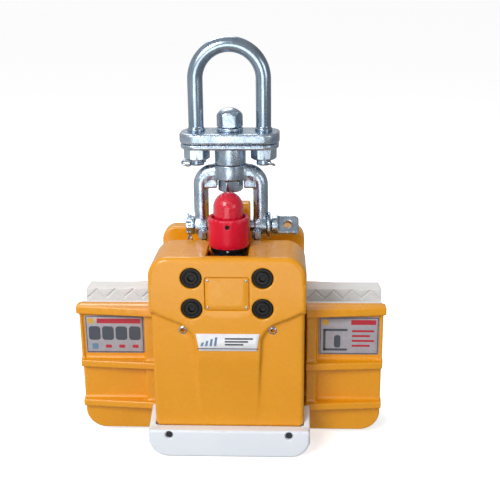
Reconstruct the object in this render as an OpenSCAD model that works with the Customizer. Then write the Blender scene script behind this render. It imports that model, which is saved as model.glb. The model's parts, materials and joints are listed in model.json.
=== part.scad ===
// Self-gripping slab lifting clamp.
// Lifting the swivel bow raises the lug and its drive frame. Slanted slots in the drive
// frame then push the front jaw towards the fixed rear jaw, which grips the slab.
// Units: millimetres. +Z is up and the front of the clamp faces -Y.
// Origin: on the lifting axis, level with the underside of the bumper shoe.

/* [Front casing] */
// Overall width of the casing's upper block
casing_w = 160; // [120:1:220]
// Height of the deck above the underside of the bumper
deck_z = 218; // [180:1:280]
// Front face of the upper block, ahead of the lifting axis
front_y = 88; // [70:1:110]
// How far the lower face lies behind the upper block
face_step = 4.5; // [2:0.5:8]
// Casing wall thickness
wall = 5; // [4:0.5:8]
// Corner radius of the casing seen from the front
corner_r = 21; // [10:1:30]
// Rounding of the casing's front edges
edge_r = 5; // [2:0.5:8]
// Width of the latch notch in the deck
notch_w = 42; // [40:0.5:50]

/* [Rear casing and bridge] */
// Distance from the lifting axis to the rear casing's front face
rear_y = 30; // [26:1:40]
// Thickness of the rear casing
rear_t = 20; // [15:1:30]
// Underside of the bridge, which is the stop for the slab's top edge
bridge_z = 166; // [160:1:180]
// Thickness of the bridge
bridge_t = 34; // [25:1:36]

/* [Jaws and pads] */
// Overall width across the jaws
jaw_w = 331; // [300:1:400]
// Top of the jaws
jaw_top = 153; // [140:1:156]
// Underside of the jaws
jaw_bottom = 7; // [4:1:20]
// How much lower the front jaw sits than the rear pad
jaw_drop = 2; // [0:0.5:4]
// Opening between the pads with the clamp open
opening = 33; // [30:1:36]
// Jaw travel
jaw_travel = 20; // [10:1:20]
// Thickness of the front pad
front_pad_t = 6; // [4:1:8]
// Thickness of the rear pad
rear_pad_t = 25; // [20:1:28]
// Pitch of the zigzag tread
tread_pitch = 20.4; // [12:0.1:30]
// Depth of the tread grooves
tread_depth = 1.2; // [0.6:0.2:2]

/* [Bumper shoe] */
// Width of the bumper shoe
bumper_w = 170; // [160:1:200]
// Height of the bumper shoe
bumper_h = 31; // [24:1:40]
// How far the shoe stands ahead of the upper block
bumper_proud = 8; // [4:1:12]

/* [Lifting gear] */
// Diameter of the bar of both bows
bar_d = 16; // [12:1:20]
// Centre-to-centre distance of the upper bow's legs
bow_span = 71; // [60:1:90]
// Top of the upper bow
bow_top = 428; // [400:1:460]
// Length of the swivel plates
plate_l = 105; // [95:1:130]
// Depth of the swivel plates
plate_d = 50; // [40:1:60]
// Height of the cross pin's axis above the underside
pin_z = 228; // [224:1:235]
// Diameter of the cross pin
pin_d = 14; // [12:1:18]
// Centre-to-centre distance of the lower bow's legs
lower_span = 64; // [60:1:80]
// Width of the lifting lug
lug_w = 39.5; // [36:0.5:46]
// Sideways play of the lug on the pin
lug_x = 1; // [0:0.5:2]

/* [Release latch] */
// Outer diameter of the red guard sleeve
sleeve_d = 43; // [43:1:50]
// Height of the guard sleeve
sleeve_h = 31.4; // [24:0.2:40]
// Diameter of the domed cap
dome_d = 30.5; // [26:0.5:32]
// Distance from the lifting axis forward to the latch axis
latch_y = 44; // [38:1:50]

/* [Hidden] */
$fn = 64;
yellow = [0.91, 0.62, 0.15];
steel = [0.72, 0.75, 0.78];
dark_steel = [0.25, 0.26, 0.28];
black = [0.08, 0.08, 0.09];
red = [0.84, 0.12, 0.22];
white = [0.93, 0.93, 0.92];
grey = [0.60, 0.60, 0.63];
half_w = casing_w / 2;
low_half = half_w - 1.5;
face_y = -front_y + face_step;
deck_rear = -22;
inner_y = face_y + wall;
side_rear = -60;
rear_pad_y = rear_y - rear_pad_t;
front_pad_y = rear_pad_y - opening;
jaw_back = front_pad_y - front_pad_t;
jaw_half = jaw_w / 2;
bridge_top = bridge_z + bridge_t;
lift_travel = 2 * jaw_travel;
pin_start_y = -69.5;
cross_pin_d = 10;
cross_pin_z = [86, 135];
guide_z = [46, 120];
guide_x = 16;
rod_x = 63;
rod_y = -66;
rod_d = 10;
plate_z0 = 314;
plate_seam = 320;
plate_z1 = 331;
hub_z0 = 280;
hub_d = 33;
bore_gap = 0.16;
bolt_x = 36;
bolt_z = [164, 196.5];
rib_z = [36, 83];
bow_pin_turn = [44, 120];

// ---- helpers ----

// Extrudes a shape drawn in X and Z from y0 to y1.
module along_y(y0, y1) {
    translate([0, y1, 0])
        rotate([90, 0, 0])
            linear_extrude(y1 - y0)
                children();
}

// Extrudes a shape drawn in Y and Z from x0 to x1.
module along_x(x0, x1) {
    translate([x0, 0, 0])
        rotate([90, 0, 90])
            linear_extrude(x1 - x0)
                children();
}

// Extrudes a shape drawn in X and Y from z0 to z1.
module along_z(z0, z1) {
    translate([0, 0, z0])
        linear_extrude(z1 - z0)
            children();
}

// Rectangle with its own radius on the bottom and the top corners.
module round_rect(x0, x1, y0, y1, rb, rt) {
    translate([x0 + rb, y0])
        square([x1 - x0 - 2 * rb, rb + 0.01]);
    translate([x0 + rt, y1 - rt - 0.01])
        square([x1 - x0 - 2 * rt, rt + 0.01]);
    translate([x0, y0 + rb])
        square([x1 - x0, y1 - y0 - rb - rt]);
    for (x = [x0 + rb, x1 - rb])
        translate([x, y0 + rb])
            circle(rb);
    for (x = [x0 + rt, x1 - rt])
        translate([x, y1 - rt])
            circle(rt);
}

// Box given by its two opposite corners.
module block(a, b) {
    translate(a)
        cube(b - a);
}

// Cylinder along X.
module rod_x_dir(x0, x1, y, z, d) {
    translate([x0, y, z])
        rotate([0, 90, 0])
            cylinder(h = x1 - x0, d = d);
}

// Cylinder along Y.
module rod_y_dir(y0, y1, x, z, d) {
    translate([x, y1, z])
        rotate([90, 0, 0])
            cylinder(h = y1 - y0, d = d);
}

// Hexagonal prism along Z with the given width across flats.
module hexagon(z0, z1, af) {
    translate([0, 0, z0])
        rotate([0, 0, 30])
            cylinder(h = z1 - z0, d = af / cos(30), $fn = 6);
}

// Shape and its mirror image across the centre plane.
module both_sides() {
    children();
    mirror([1, 0, 0])
        children();
}

// Split pin with its loop at the origin's -X side and its legs along +X.
module split_pin(leg, d, eye) {
    rod_x_dir(-1, leg, 0, 0, d);
    translate([-0.6 - eye, 0, 0])
        rotate_extrude()
            translate([eye, 0])
                circle(d = 1.8, $fn = 24);
    translate([leg - 0.4, 0, 0])
        rotate([0, 0, 35])
            rod_x_dir(0, 5, 0, 0, d * 0.7);
    translate([leg - 0.4, 0, 0])
        rotate([0, 0, -35])
            rod_x_dir(0, 5, 0, 0, d * 0.7);
}

// ---- frame ----

// Outline of the raised upper block, with its swept lower edge.
module raised_outline() {
    polygon([[-half_w, 250], [-half_w, 163], [-77.7, 160.5], [-70, 156], [-62.4, 152.5],
        [-54, 149.2], [-47.3, 146.2], [-42, 142], [-38, 137], [-35, 131], [-34, 126],
        [34, 126], [35, 131], [38, 137], [42, 142], [47.3, 146.2], [54, 149.2],
        [62.4, 152.5], [70, 156], [77.7, 160.5], [half_w, 163], [half_w, 250]]);
}

// Raised spine that fades out down the middle of the face.
module spine() {
    intersection() {
        along_y(-front_y, face_y + 1)
            polygon([[-34, 127], [-31, 56], [31, 56], [34, 127]]);
        along_x(-40, 40)
            polygon([[face_y + 1, 56], [face_y - 0.01, 58], [-front_y, 108],
                [-front_y, 130], [face_y + 1, 130]]);
    }
}

// Solid envelope of the front casing before it is hollowed.
module casing_envelope() {
    intersection() {
        union() {
            along_y(-front_y, face_y + 0.5)
                raised_outline();
            along_y(face_y, deck_rear)
                polygon([[-half_w, 158], [half_w, 158], [half_w, 250], [-half_w, 250]]);
            along_y(face_y, side_rear)
                round_rect(-low_half, low_half, 29, 200, 6, 1);
        }
        along_y(-front_y - 1, deck_rear + 1)
            round_rect(-half_w, half_w, 20, deck_z, 1, corner_r);
        along_x(-100, 100)
            polygon(concat([[deck_rear, 20], [-front_y, 20], [-front_y, deck_z - edge_r]],
                [for (a = [15:15:75]) [-front_y + edge_r - edge_r * cos(a),
                    deck_z - edge_r + edge_r * sin(a)]],
                [[-front_y + edge_r, deck_z], [deck_rear, deck_z]]));
        along_z(0, 260)
            polygon(concat([[-half_w, 0], [-half_w, -front_y + edge_r]],
                [for (a = [15:15:75]) [-half_w + edge_r - edge_r * cos(a),
                    -front_y + edge_r - edge_r * sin(a)]],
                [[-half_w + edge_r, -front_y], [half_w - edge_r, -front_y]],
                [for (a = [75:-15:15]) [half_w - edge_r + edge_r * cos(a),
                    -front_y + edge_r - edge_r * sin(a)]],
                [[half_w, -front_y + edge_r], [half_w, 0]]));
    }
    spine();
}

// Front casing: a shell that houses the drive frame and carries the bumper.
module front_casing() {
    color(yellow)
    difference() {
        union() {
            difference() {
                casing_envelope();
                along_y(inner_y, deck_rear - wall)
                    round_rect(-low_half + wall, low_half - wall, 34, deck_z - wall, 2,
                        corner_r - wall);
                block([-low_half + wall, -70, 34], [low_half - wall, 0, 158.01]);
                block([-notch_w / 2, deck_rear - wall - 1, 172],
                    [notch_w / 2, deck_rear + 1, deck_z]);
            }
            for (z = guide_z, s = [-1, 1])
                rod_y_dir(inner_y - 1, -45, s * guide_x, z, 22);
        }
        along_z(deck_z - wall - 1, deck_z + 1)
            polygon([[-21, -78], [21, -78], [21, -30], [25, -21], [-25, -21], [-21, -30]]);
        for (z = guide_z, s = [-1, 1])
            rod_y_dir(inner_y + 0.4, -44, s * guide_x, z, 14 + bore_gap);
        for (z = bolt_z, s = [-1, 1]) {
            rod_y_dir(-front_y - 1, -front_y + 6, s * bolt_x, z, 22);
            rod_y_dir(-front_y, inner_y + 1, s * bolt_x, z, 14);
        }
        along_y(-front_y - 1, -front_y + 1.5)
            round_rect(-22.5, 22.5, 162.5, 197.5, 2.5, 2.5);
        for (s = [-1, 1])
            rod_y_dir(face_y - 5, inner_y + 1, s * 46, 139.5, 5);
        for (s = [-1, 1])
            rod_y_dir(face_y - 1, inner_y - 1.5, s * 20, 168, 3);
    }
}

// Rear casing: a ribbed casting that is open at the back.
module rear_casing() {
    color(yellow)
    difference() {
        intersection() {
            along_y(rear_y, rear_y + rear_t)
                round_rect(-half_w, half_w, 0, deck_z, 6, 15);
            along_x(-100, 100)
                polygon([[rear_y, -1], [rear_y, deck_z - 2.5], [rear_y + 0.8, deck_z - 0.8],
                    [rear_y + 2.5, deck_z], [rear_y + rear_t - 2.5, deck_z],
                    [rear_y + rear_t - 0.8, deck_z - 0.8], [rear_y + rear_t, deck_z - 2.5],
                    [rear_y + rear_t, -1]]);
        }
        for (i = [0:3], j = [0:4])
            along_y(rear_y + 6, rear_y + rear_t + 1)
                round_rect(-74 + i * 38, -40 + i * 38, 7 + j * 41, 44 + j * 41, 4, 4);
    }
}

// Bridge that joins the two casings and stops the slab's top edge.
module bridge() {
    color(yellow)
    difference() {
        block([-70, deck_rear, bridge_z], [70, rear_y, bridge_top]);
        block([-22, deck_rear - 1, bridge_z + 6], [22, 18, bridge_top + 1]);
        both_sides()
            translate([28.5, -17, bridge_top - 20])
                cylinder(h = 21, d = 8);
    }
}

// Two studs with hexagonal nuts that stand beside the latch.
module bridge_studs() {
    color(steel)
    both_sides()
        translate([28.5, -17, 0]) {
            translate([0, 0, bridge_top - 20])
                cylinder(h = 44, d = 8);
            hexagon(deck_z, deck_z + 9, 9.8);
            translate([0, 0, deck_z + 9])
                cylinder(h = 1.5, d = 7);
        }
}

// Four black socket-head bolts in the upper block's counterbores.
module casing_bolts() {
    color(black)
    for (z = bolt_z, s = [-1, 1])
        difference() {
            union() {
                rod_y_dir(-front_y + 0.8, -front_y + 6, s * bolt_x, z, 20.6);
                rod_y_dir(-front_y + 6, inner_y, s * bolt_x, z, 14);
            }
            translate([s * bolt_x, -front_y + 4.6, z])
                rotate([90, 0, 0])
                    cylinder(h = 5, d = 11.5, $fn = 6);
        }
}

// Two button-head screws under the upper block's shoulders.
module guide_screws() {
    color(steel)
    both_sides()
        difference() {
            union() {
                rod_y_dir(face_y - 2.2, face_y, 46, 139.5, 9);
                rod_y_dir(face_y, inner_y, 46, 139.5, 5);
            }
            translate([46, face_y - 1, 139.5])
                rotate([90, 0, 0])
                    cylinder(h = 2, d = 4.2, $fn = 6);
        }
}

// Plain painted panel let into the upper block.
module name_panel() {
    color(yellow)
    difference() {
        along_y(-front_y + 0.6, -front_y + 1.5)
            round_rect(-22, 22, 163, 197, 2.2, 2.2);
        for (x = [-19.5, 19.5], z = [165.8, 194.2])
            rod_y_dir(-front_y, -front_y + 2, x, z, 1.6);
    }
}

// Four rivets at the corners of the panel.
module panel_rivets() {
    color(steel)
    for (x = [-19.5, 19.5], z = [165.8, 194.2]) {
        rod_y_dir(-front_y + 0.1, -front_y + 0.6, x, z, 2.8);
        rod_y_dir(-front_y + 0.6, -front_y + 1.5, x, z, 1.6);
    }
}

// Blank badge plate on the spine.
module badge_plate() {
    color(white)
    along_y(-front_y - 0.8, -front_y)
        polygon([[-33.5, 138], [33.5, 138], [30, 118], [-30, 118]]);
}

// Half of a jaw casting seen from above: plan outline of a tapered rib.
module rib(z0, z1, inner_front, outer_front, outer_x, back) {
    along_z(z0, z1)
        polygon([[half_w + 2, inner_front], [outer_x, outer_front], [outer_x, back],
            [half_w + 2, back]]);
}

// Front outline of a wing's flat web, with its rounded lower outer corner.
module web_outline(x0, x1, r, top) {
    translate([x0, jaw_bottom])
        square([x1 - x0 - r, top - jaw_bottom]);
    translate([x0, jaw_bottom + r])
        square([x1 - x0, top - jaw_bottom - r]);
    translate([x1 - r, jaw_bottom + r])
        circle(r);
}

// Two flat wings that carry the rear pad beyond the rear casing.
module rear_wings() {
    color(yellow)
    both_sides()
        along_y(rear_y, rear_y + 8)
            web_outline(half_w, 154, 22, jaw_top - 5);
}

// Three stiffening ribs on the back of each rear wing.
module rear_wing_ribs() {
    color(yellow)
    both_sides()
        for (z = [rib_z[0], rib_z[1], jaw_top - 13])
            along_z(z, z + 8)
                polygon([[half_w, rear_y + 8], [153, rear_y + 8], [153, rear_y + 11],
                    [half_w, rear_y + 19]]);
}

// One row of zigzag groove, drawn in X and Z.
module zigzag(w, z, h) {
    n = floor(w / tread_pitch);
    x0 = -n * tread_pitch / 2;
    top = [for (i = [0:2 * n]) [x0 + i * tread_pitch / 2, z + (i % 2) * h + 1]];
    low = [for (i = [2 * n:-1:0]) [x0 + i * tread_pitch / 2, z + (i % 2) * h - 1]];
    polygon(concat(top, low));
}

// Thick rear pad with a zigzag tread that faces forward.
module rear_pad() {
    color(white)
    difference() {
        intersection() {
            along_z(jaw_bottom, jaw_top)
                polygon([[-jaw_half, rear_pad_y], [jaw_half, rear_pad_y],
                    [jaw_half, rear_pad_y + 8], [jaw_half - 1, rear_y],
                    [-jaw_half + 1, rear_y], [-jaw_half, rear_pad_y + 8]]);
            along_y(rear_pad_y - 1, rear_y + 1)
                round_rect(-jaw_half, jaw_half, jaw_bottom + 2, jaw_top, 26, 2.5);
        }
        for (z = [22:20:142])
            along_y(rear_pad_y - 1, rear_pad_y + tread_depth)
                zigzag(jaw_w - (z < 30 ? 40 : 4), z, min(10, jaw_top - z - 1.5));
    }
}

// White shoe that caps the bottom of the front casing.
module bumper() {
    color(white)
    difference() {
        union() {
            intersection() {
                along_y(-front_y - bumper_proud, side_rear + 4)
                    round_rect(-bumper_w / 2, bumper_w / 2, 0, bumper_h, 21, 2);
                along_x(-100, 100)
                    polygon([[-front_y - bumper_proud, 2], [-front_y - bumper_proud + 2, 0],
                        [side_rear + 4, 0], [side_rear + 4, bumper_h],
                        [-front_y - bumper_proud + 2.5, bumper_h],
                        [-front_y - bumper_proud, bumper_h - 2.5]]);
            }
            both_sides()
                along_x(low_half, bumper_w / 2)
                    polygon([[-86, bumper_h - 6], [side_rear + 4, bumper_h - 6],
                        [side_rear + 4, bumper_h + 11], [-86, bumper_h]]);
        }
        block([-low_half, face_y, 29], [low_half, side_rear + 5, bumper_h + 1]);
        both_sides()
            rod_y_dir(-front_y - bumper_proud - 1, -front_y - bumper_proud + 3, 63, 25.5,
                8.4);
        both_sides()
            rod_y_dir(-front_y - bumper_proud, -front_y, 63, 25.5, 4.4);
        both_sides()
            rod_x_dir(bumper_w / 2 - 6, bumper_w / 2 + 1, -81, 25.5, 5);
    }
}

// Two screws that hold the bumper shoe.
module bumper_screws() {
    color(steel)
    both_sides()
        difference() {
            union() {
                rod_y_dir(-front_y - bumper_proud + 0.6, -front_y - bumper_proud + 3, 63,
                    25.5, 7.6);
                rod_y_dir(-front_y - bumper_proud + 3, -front_y, 63, 25.5, 4.4);
            }
            translate([63, -front_y - bumper_proud + 2, 25.5])
                rotate([90, 0, 0])
                    cylinder(h = 3, d = 3.6, $fn = 6);
        }
}

// Two upright rods on which the drive frame slides.
module guide_rods() {
    color(steel)
    both_sides()
        translate([rod_x, rod_y, 34])
            cylinder(h = deck_z - wall - 40, d = rod_d);
}

// Two return springs around the guide rods, drawn as their separate coils.
module return_springs() {
    color(dark_steel)
    both_sides()
        for (i = [0:23])
            translate([rod_x, rod_y, 37 + i * 5])
                rotate([8, 0, 0])
                    rotate_extrude()
                        translate([6.2, 0])
                            circle(d = 1.6, $fn = 16);
}

// ---- lifting body ----

// Slanted slot that drives one cross pin, drawn in Y and Z.
module cam_slot(z) {
    w = cross_pin_d / 2 + 0.35;
    len = norm([jaw_travel, lift_travel]);
    translate([pin_start_y, z])
        circle(w);
    translate([pin_start_y + jaw_travel, z - lift_travel])
        circle(w);
    translate([pin_start_y, z])
        rotate(-atan2(lift_travel, jaw_travel))
            translate([0, -w])
                square([len, 2 * w]);
}

// Drive frame: two cam plates, their crosshead and the arm up to the lug.
module drive_frame() {
    color(dark_steel)
    difference() {
        union() {
            both_sides()
                along_x(40, 50)
                    difference() {
                        translate([-78, 36])
                            square([37, 123]);
                        for (z = cross_pin_z)
                            cam_slot(z);
                    }
            block([-69, -76, 158], [69, -50, 166]);
            block([-15, -76, 165], [15, -65, 190]);
            block([-15, -76, 190], [15, -11, 214]);
        }
        both_sides()
            translate([rod_x, rod_y, 150])
                cylinder(h = 30, d = rod_d + bore_gap);
        translate([0, -latch_y, 180])
            cylinder(h = 40, d = 12 + bore_gap);
    }
}

// Lifting lug, bored for the cross pin.
module lug() {
    color(yellow)
    difference() {
        along_x(lug_x - lug_w / 2, lug_x + lug_w / 2)
            polygon([[-11, 190], [11, 190], [11, 250.5], [7, 254.5], [-7, 254.5],
                [-11, 250.5]]);
        rod_x_dir(-lug_w, lug_w, 0, pin_z, pin_d + bore_gap);
    }
}

// Black collar under the guard sleeve.
module latch_collar() {
    color(black)
    translate([0, -latch_y, 214])
        difference() {
            cylinder(h = 4.6, d = 38);
            translate([0, 0, -1])
                cylinder(h = 8, d = 12.6);
        }
}

// Red guard sleeve around the domed cap.
module latch_sleeve() {
    color(red)
    translate([0, -latch_y, 218.6])
        difference() {
            cylinder(h = sleeve_h, d = sleeve_d);
            translate([0, 0, 4])
                cylinder(h = sleeve_h, d = 35);
            translate([0, 0, -1])
                cylinder(h = 6, d = 12.6);
            translate([0, 0, 24.4])
                rotate([90, 0, 0])
                    cylinder(h = 30, d = 4.6);
        }
}

// Set screw in the guard sleeve.
module latch_set_screw() {
    color(black)
    translate([0, -latch_y - 18, 243])
        rotate([90, 0, 0])
            cylinder(h = 2.4, d = 4.6);
}

// Red domed cap with its spindle.
module latch_dome() {
    color(red)
    translate([0, -latch_y, 0]) {
        translate([0, 0, 225])
            cylinder(h = 35, d = dome_d);
        translate([0, 0, 260])
            intersection() {
                sphere(d = dome_d);
                cylinder(h = 20, d = dome_d + 1);
            }
        translate([0, 0, 186])
            cylinder(h = 40, d = 12);
    }
}

// ---- front jaw body ----

// Front jaw's plate, which backs the whole pad.
module front_jaw() {
    color(yellow)
    difference() {
        translate([0, 0, -jaw_drop]) {
            both_sides()
                along_y(jaw_back - 8, jaw_back)
                    web_outline(half_w - 2, jaw_half - 3, 22, jaw_top);
            both_sides()
                block([jaw_half - 6, jaw_back - 8, jaw_top - 9], [jaw_half, jaw_back, jaw_top]);
            block([-half_w, jaw_back - 6, jaw_bottom], [half_w, jaw_back, 152]);
        }
        for (z = guide_z, s = [-1, 1])
            rod_y_dir(jaw_back - 7, jaw_back + 1, s * guide_x, z, 14);
    }
}

// Tapered lip and two tapered ribs on the front of each wing.
module jaw_ribs() {
    color(yellow)
    translate([0, 0, -jaw_drop])
    both_sides() {
        rib(jaw_top - 9, jaw_top, -56, -47, jaw_half, jaw_back - 8);
        for (z = rib_z)
            rib(z, z + 8, -55, -48.5, jaw_half - 2.5, jaw_back - 8);
    }
}

// Upright bars between the ribs, beside the casing and along the outer edge.
module jaw_posts() {
    color(yellow)
    translate([0, 0, -jaw_drop])
    both_sides() {
        block([half_w + 2, -50, rib_z[0] + 8], [half_w + 12, jaw_back - 8, rib_z[1]]);
        block([half_w + 2, -50, rib_z[1] + 8], [half_w + 12, jaw_back - 8, jaw_top - 9]);
        block([jaw_half - 5.5, -44, rib_z[1] + 8], [jaw_half - 3, jaw_back - 8, jaw_top - 9]);
    }
}

// Four pairs of lugs that hold the cross pins.
module jaw_lugs() {
    color(yellow)
    difference() {
        for (z = cross_pin_z, x = [30, 51])
            both_sides()
                along_x(x, x + (x == 30 ? 8 : 4)) {
                    translate([pin_start_y, z])
                        circle(8);
                    translate([pin_start_y, z - 8])
                        square([jaw_back - 6 - pin_start_y, 16]);
                }
        for (z = cross_pin_z)
            rod_x_dir(-60, 60, pin_start_y, z, cross_pin_d);
    }
}

// Thin front pad with a zigzag tread that faces the slab.
module front_pad() {
    color(white)
    translate([0, 0, -jaw_drop])
    difference() {
        along_y(jaw_back, front_pad_y)
            round_rect(-jaw_half + 3, jaw_half - 3, jaw_bottom + 2, jaw_top, 26, 2);
        for (z = [22:20:142])
            along_y(front_pad_y - tread_depth, front_pad_y + 1)
                zigzag(jaw_w - (z < 30 ? 40 : 4), z, min(10, jaw_top - z - 1.5));
    }
}

// Four cross pins that ride in the drive frame's slots.
module jaw_cross_pins() {
    color(steel)
    for (z = cross_pin_z)
        both_sides()
            rod_x_dir(30, 55, pin_start_y, z, cross_pin_d);
}

// Four pins that guide the front jaw in the casing.
module jaw_guide_pins() {
    color(steel)
    for (z = guide_z, s = [-1, 1])
        rod_y_dir(inner_y + 0.8, jaw_back, s * guide_x, z, 14);
}

// Blank pictogram plate on the left wing.
module left_label() {
    color(grey)
    along_y(jaw_back - 8.8, jaw_back - 8)
        round_rect(-157.5, -93.5, 97.5 - jaw_drop, 140.8 - jaw_drop, 1, 1);
}

// Blank pictogram plate on the right wing.
module right_label() {
    color(grey)
    along_y(jaw_back - 8.8, jaw_back - 8)
        round_rect(94.5, 159.5, 97.5 - jaw_drop, 140.8 - jaw_drop, 1, 1);
}

// ---- lower bow body ----

// Quarter turn of bar in the XZ plane, centred on the corner's centre.
module bar_corner(r) {
    rotate([90, 0, 0])
        rotate_extrude(angle = 90)
            translate([r, 0])
                circle(d = bar_d);
}

// Lower bow: a forged yoke with two eyes and a hub for the swivel bolt.
module lower_bow() {
    r = 15;
    x = lower_span / 2;
    top = hub_z0 + bar_d / 2;
    color(steel)
    difference() {
        union() {
            both_sides() {
                translate([x, 0, pin_z])
                    cylinder(h = top - r - pin_z, d = bar_d);
                translate([x - r, 0, top - r])
                    bar_corner(r);
                rod_x_dir(x - 6.5, x + 7, 0, pin_z, 21);
            }
            rod_x_dir(-x + r, x - r, 0, top, bar_d);
            translate([0, 0, hub_z0])
                cylinder(h = bar_d, d = hub_d);
            block([-x + 6, -7, hub_z0 - 9.5], [x - 6, 7, hub_z0 + 4]);
        }
        translate([0, 0, hub_z0 - 20])
            cylinder(h = 40, d = bar_d + bore_gap);
        translate([0, 0, hub_z0 - 20])
            cylinder(h = 20, d = 31);
        rod_x_dir(-60, 60, 0, pin_z, pin_d);
        both_sides()
            rod_x_dir(x + 7, x + 20, 0, pin_z, 30);
    }
}

// Cross pin with its flange, shoulder and flat eye.
module cross_pin() {
    x = lower_span / 2;
    color(steel)
    difference() {
        union() {
            rod_x_dir(-x - 7, x + 7, 0, pin_z, pin_d);
            rod_x_dir(-x - 17.5, -x - 7, 0, pin_z, 12);
            rod_x_dir(x + 7, x + 10.5, 0, pin_z, 29);
            rod_x_dir(x + 10.5, x + 12, 0, pin_z, 14);
            rod_x_dir(x + 12, x + 19, 0, pin_z, 21);
            translate([0, 0, pin_z])
                rotate([-45, 0, 0])
                    translate([0, 0, -pin_z])
                        along_y(-3, 3)
                            round_rect(x + 14, x + 41, pin_z - 10.7, pin_z + 10.7, 4, 4);
        }
        translate([x + 29, 0, pin_z])
            rotate([45, 0, 0])
                translate([0, 0, -15])
                    cylinder(h = 30, d = 9);
        translate([-x - 13.4, 0, pin_z - 20])
            cylinder(h = 40, d = 2.6);
    }
}

// Castellated nut on the cross pin's threaded end.
module cross_pin_nut() {
    x = lower_span / 2;
    color(steel)
    difference() {
        translate([-x - 7, 0, pin_z])
            rotate([0, -90, 0])
                cylinder(h = 9.5, d = 18 / cos(30), $fn = 6);
        rod_x_dir(-x - 30, -x, 0, pin_z, 12);
        for (a = [0, 60, 120])
            translate([-x - 13.5, 0, pin_z])
                rotate([a, 0, 0])
                    block([-4, -1.6, -15], [2, 1.6, 15]);
    }
}

// Split pin that locks the castellated nut.
module cross_pin_split_pin() {
    color(steel)
    translate([-lower_span / 2 - 13.4, 0, pin_z - 12])
        rotate([0, -90, 0])
            split_pin(24, 2.5, 2.8);
}

// ---- swivel body ----

// Plan outline of the swivel plates.
module plate_outline(l, d, r) {
    round_rect(-l / 2, l / 2, -d / 2, d / 2, r, r);
}

// Thin lower swivel plate.
module swivel_plate_lower() {
    color(steel)
    difference() {
        along_z(plate_z0, plate_seam)
            plate_outline(plate_l - 1.5, plate_d - 1.5, 18);
        for (x = [-bow_span / 2, 0, bow_span / 2])
            translate([x, 0, plate_z0 - 1])
                cylinder(h = 20, d = bar_d);
    }
}

// Thick upper swivel plate.
module swivel_plate_upper() {
    color(steel)
    difference() {
        along_z(plate_seam, plate_z1)
            plate_outline(plate_l, plate_d, 18);
        for (x = [-bow_span / 2, 0, bow_span / 2])
            translate([x, 0, plate_seam - 1])
                cylinder(h = 20, d = bar_d);
    }
}

// Upper bow whose threaded legs pass through both plates.
module upper_bow() {
    r = bow_span / 2;
    zc = bow_top - bar_d / 2 - r;
    color(steel)
    difference() {
        union() {
            translate([0, 0, zc])
                rotate([90, 0, 0])
                    rotate_extrude(angle = 180)
                        translate([r, 0])
                            circle(d = bar_d);
            both_sides() {
                translate([r, 0, 295])
                    cylinder(h = zc - 295, d = bar_d);
                translate([r, 0, plate_z1])
                    cylinder(h = 3, d = 18.5);
            }
        }
        for (i = [0, 1])
            translate([(2 * i - 1) * r, 0, 298.6])
                rotate([0, 0, bow_pin_turn[i]])
                    rod_x_dir(-10, 10, 0, 0, 3);
    }
}

// Two hexagonal nuts under the plates.
module bow_nuts() {
    color(steel)
    both_sides()
        translate([bow_span / 2, 0, 0])
            difference() {
                hexagon(plate_z0 - 13, plate_z0, 24);
                translate([0, 0, plate_z0 - 14])
                    cylinder(h = 20, d = bar_d);
            }
}

// Split pins through the bow's legs, under the nuts.
module bow_split_pins() {
    color(steel)
    for (i = [0, 1])
        translate([(2 * i - 1) * bow_span / 2, 0, 298.6])
            rotate([0, 0, bow_pin_turn[i]])
                translate([-8.6, 0, 0])
                    split_pin(18, 2.6, 4);
}

// Domed hexagonal head and shank of the swivel bolt.
module swivel_bolt() {
    color(steel) {
        translate([0, 0, 267])
            cylinder(h = 70, d = bar_d);
        intersection() {
            hexagon(plate_z1 + 4, plate_z1 + 25, 24);
            translate([0, 0, plate_z1 + 8])
                sphere(d = 32.5);
        }
    }
}

// Washer under the head of the swivel bolt.
module swivel_washer() {
    color(steel)
    translate([0, 0, plate_z1])
        difference() {
            cylinder(h = 4, d = 28);
            translate([0, 0, -1])
                cylinder(h = 6, d = bar_d);
        }
}

// Thrust collar between the lower plate and the lower bow's hub.
module swivel_collar() {
    color(steel)
    translate([0, 0, hub_z0 + bar_d + 0.4])
        difference() {
            cylinder(h = plate_z0 - hub_z0 - bar_d - 0.4, d = 33);
            translate([0, 0, -1])
                cylinder(h = 40, d = bar_d);
        }
}

// Hexagonal nut under the lower bow's hub.
module swivel_nut() {
    color(steel)
    difference() {
        hexagon(hub_z0 - 13, hub_z0 - 0.4, 24);
        translate([0, 0, hub_z0 - 20])
            cylinder(h = 30, d = bar_d);
    }
}

front_casing();
rear_casing();
bridge();
bridge_studs();
casing_bolts();
guide_screws();
name_panel();
panel_rivets();
badge_plate();
rear_wings();
rear_wing_ribs();
rear_pad();
bumper();
bumper_screws();
guide_rods();
return_springs();
drive_frame();
lug();
latch_collar();
latch_sleeve();
latch_set_screw();
latch_dome();
front_jaw();
jaw_ribs();
jaw_posts();
jaw_lugs();
front_pad();
jaw_cross_pins();
jaw_guide_pins();
left_label();
right_label();
lower_bow();
cross_pin();
cross_pin_nut();
cross_pin_split_pin();
swivel_plate_lower();
swivel_plate_upper();
upper_bow();
bow_nuts();
bow_split_pins();
swivel_bolt();
swivel_washer();
swivel_collar();
swivel_nut();
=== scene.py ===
"""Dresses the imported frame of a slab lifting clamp: castings, pads, bows, latch and labels."""

from __future__ import annotations

import json
import logging
import math
from dataclasses import dataclass, field
from enum import Enum
from typing import Callable, Sequence

import bmesh
import bpy
import numpy as np
from mathutils import Matrix, Vector

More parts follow.
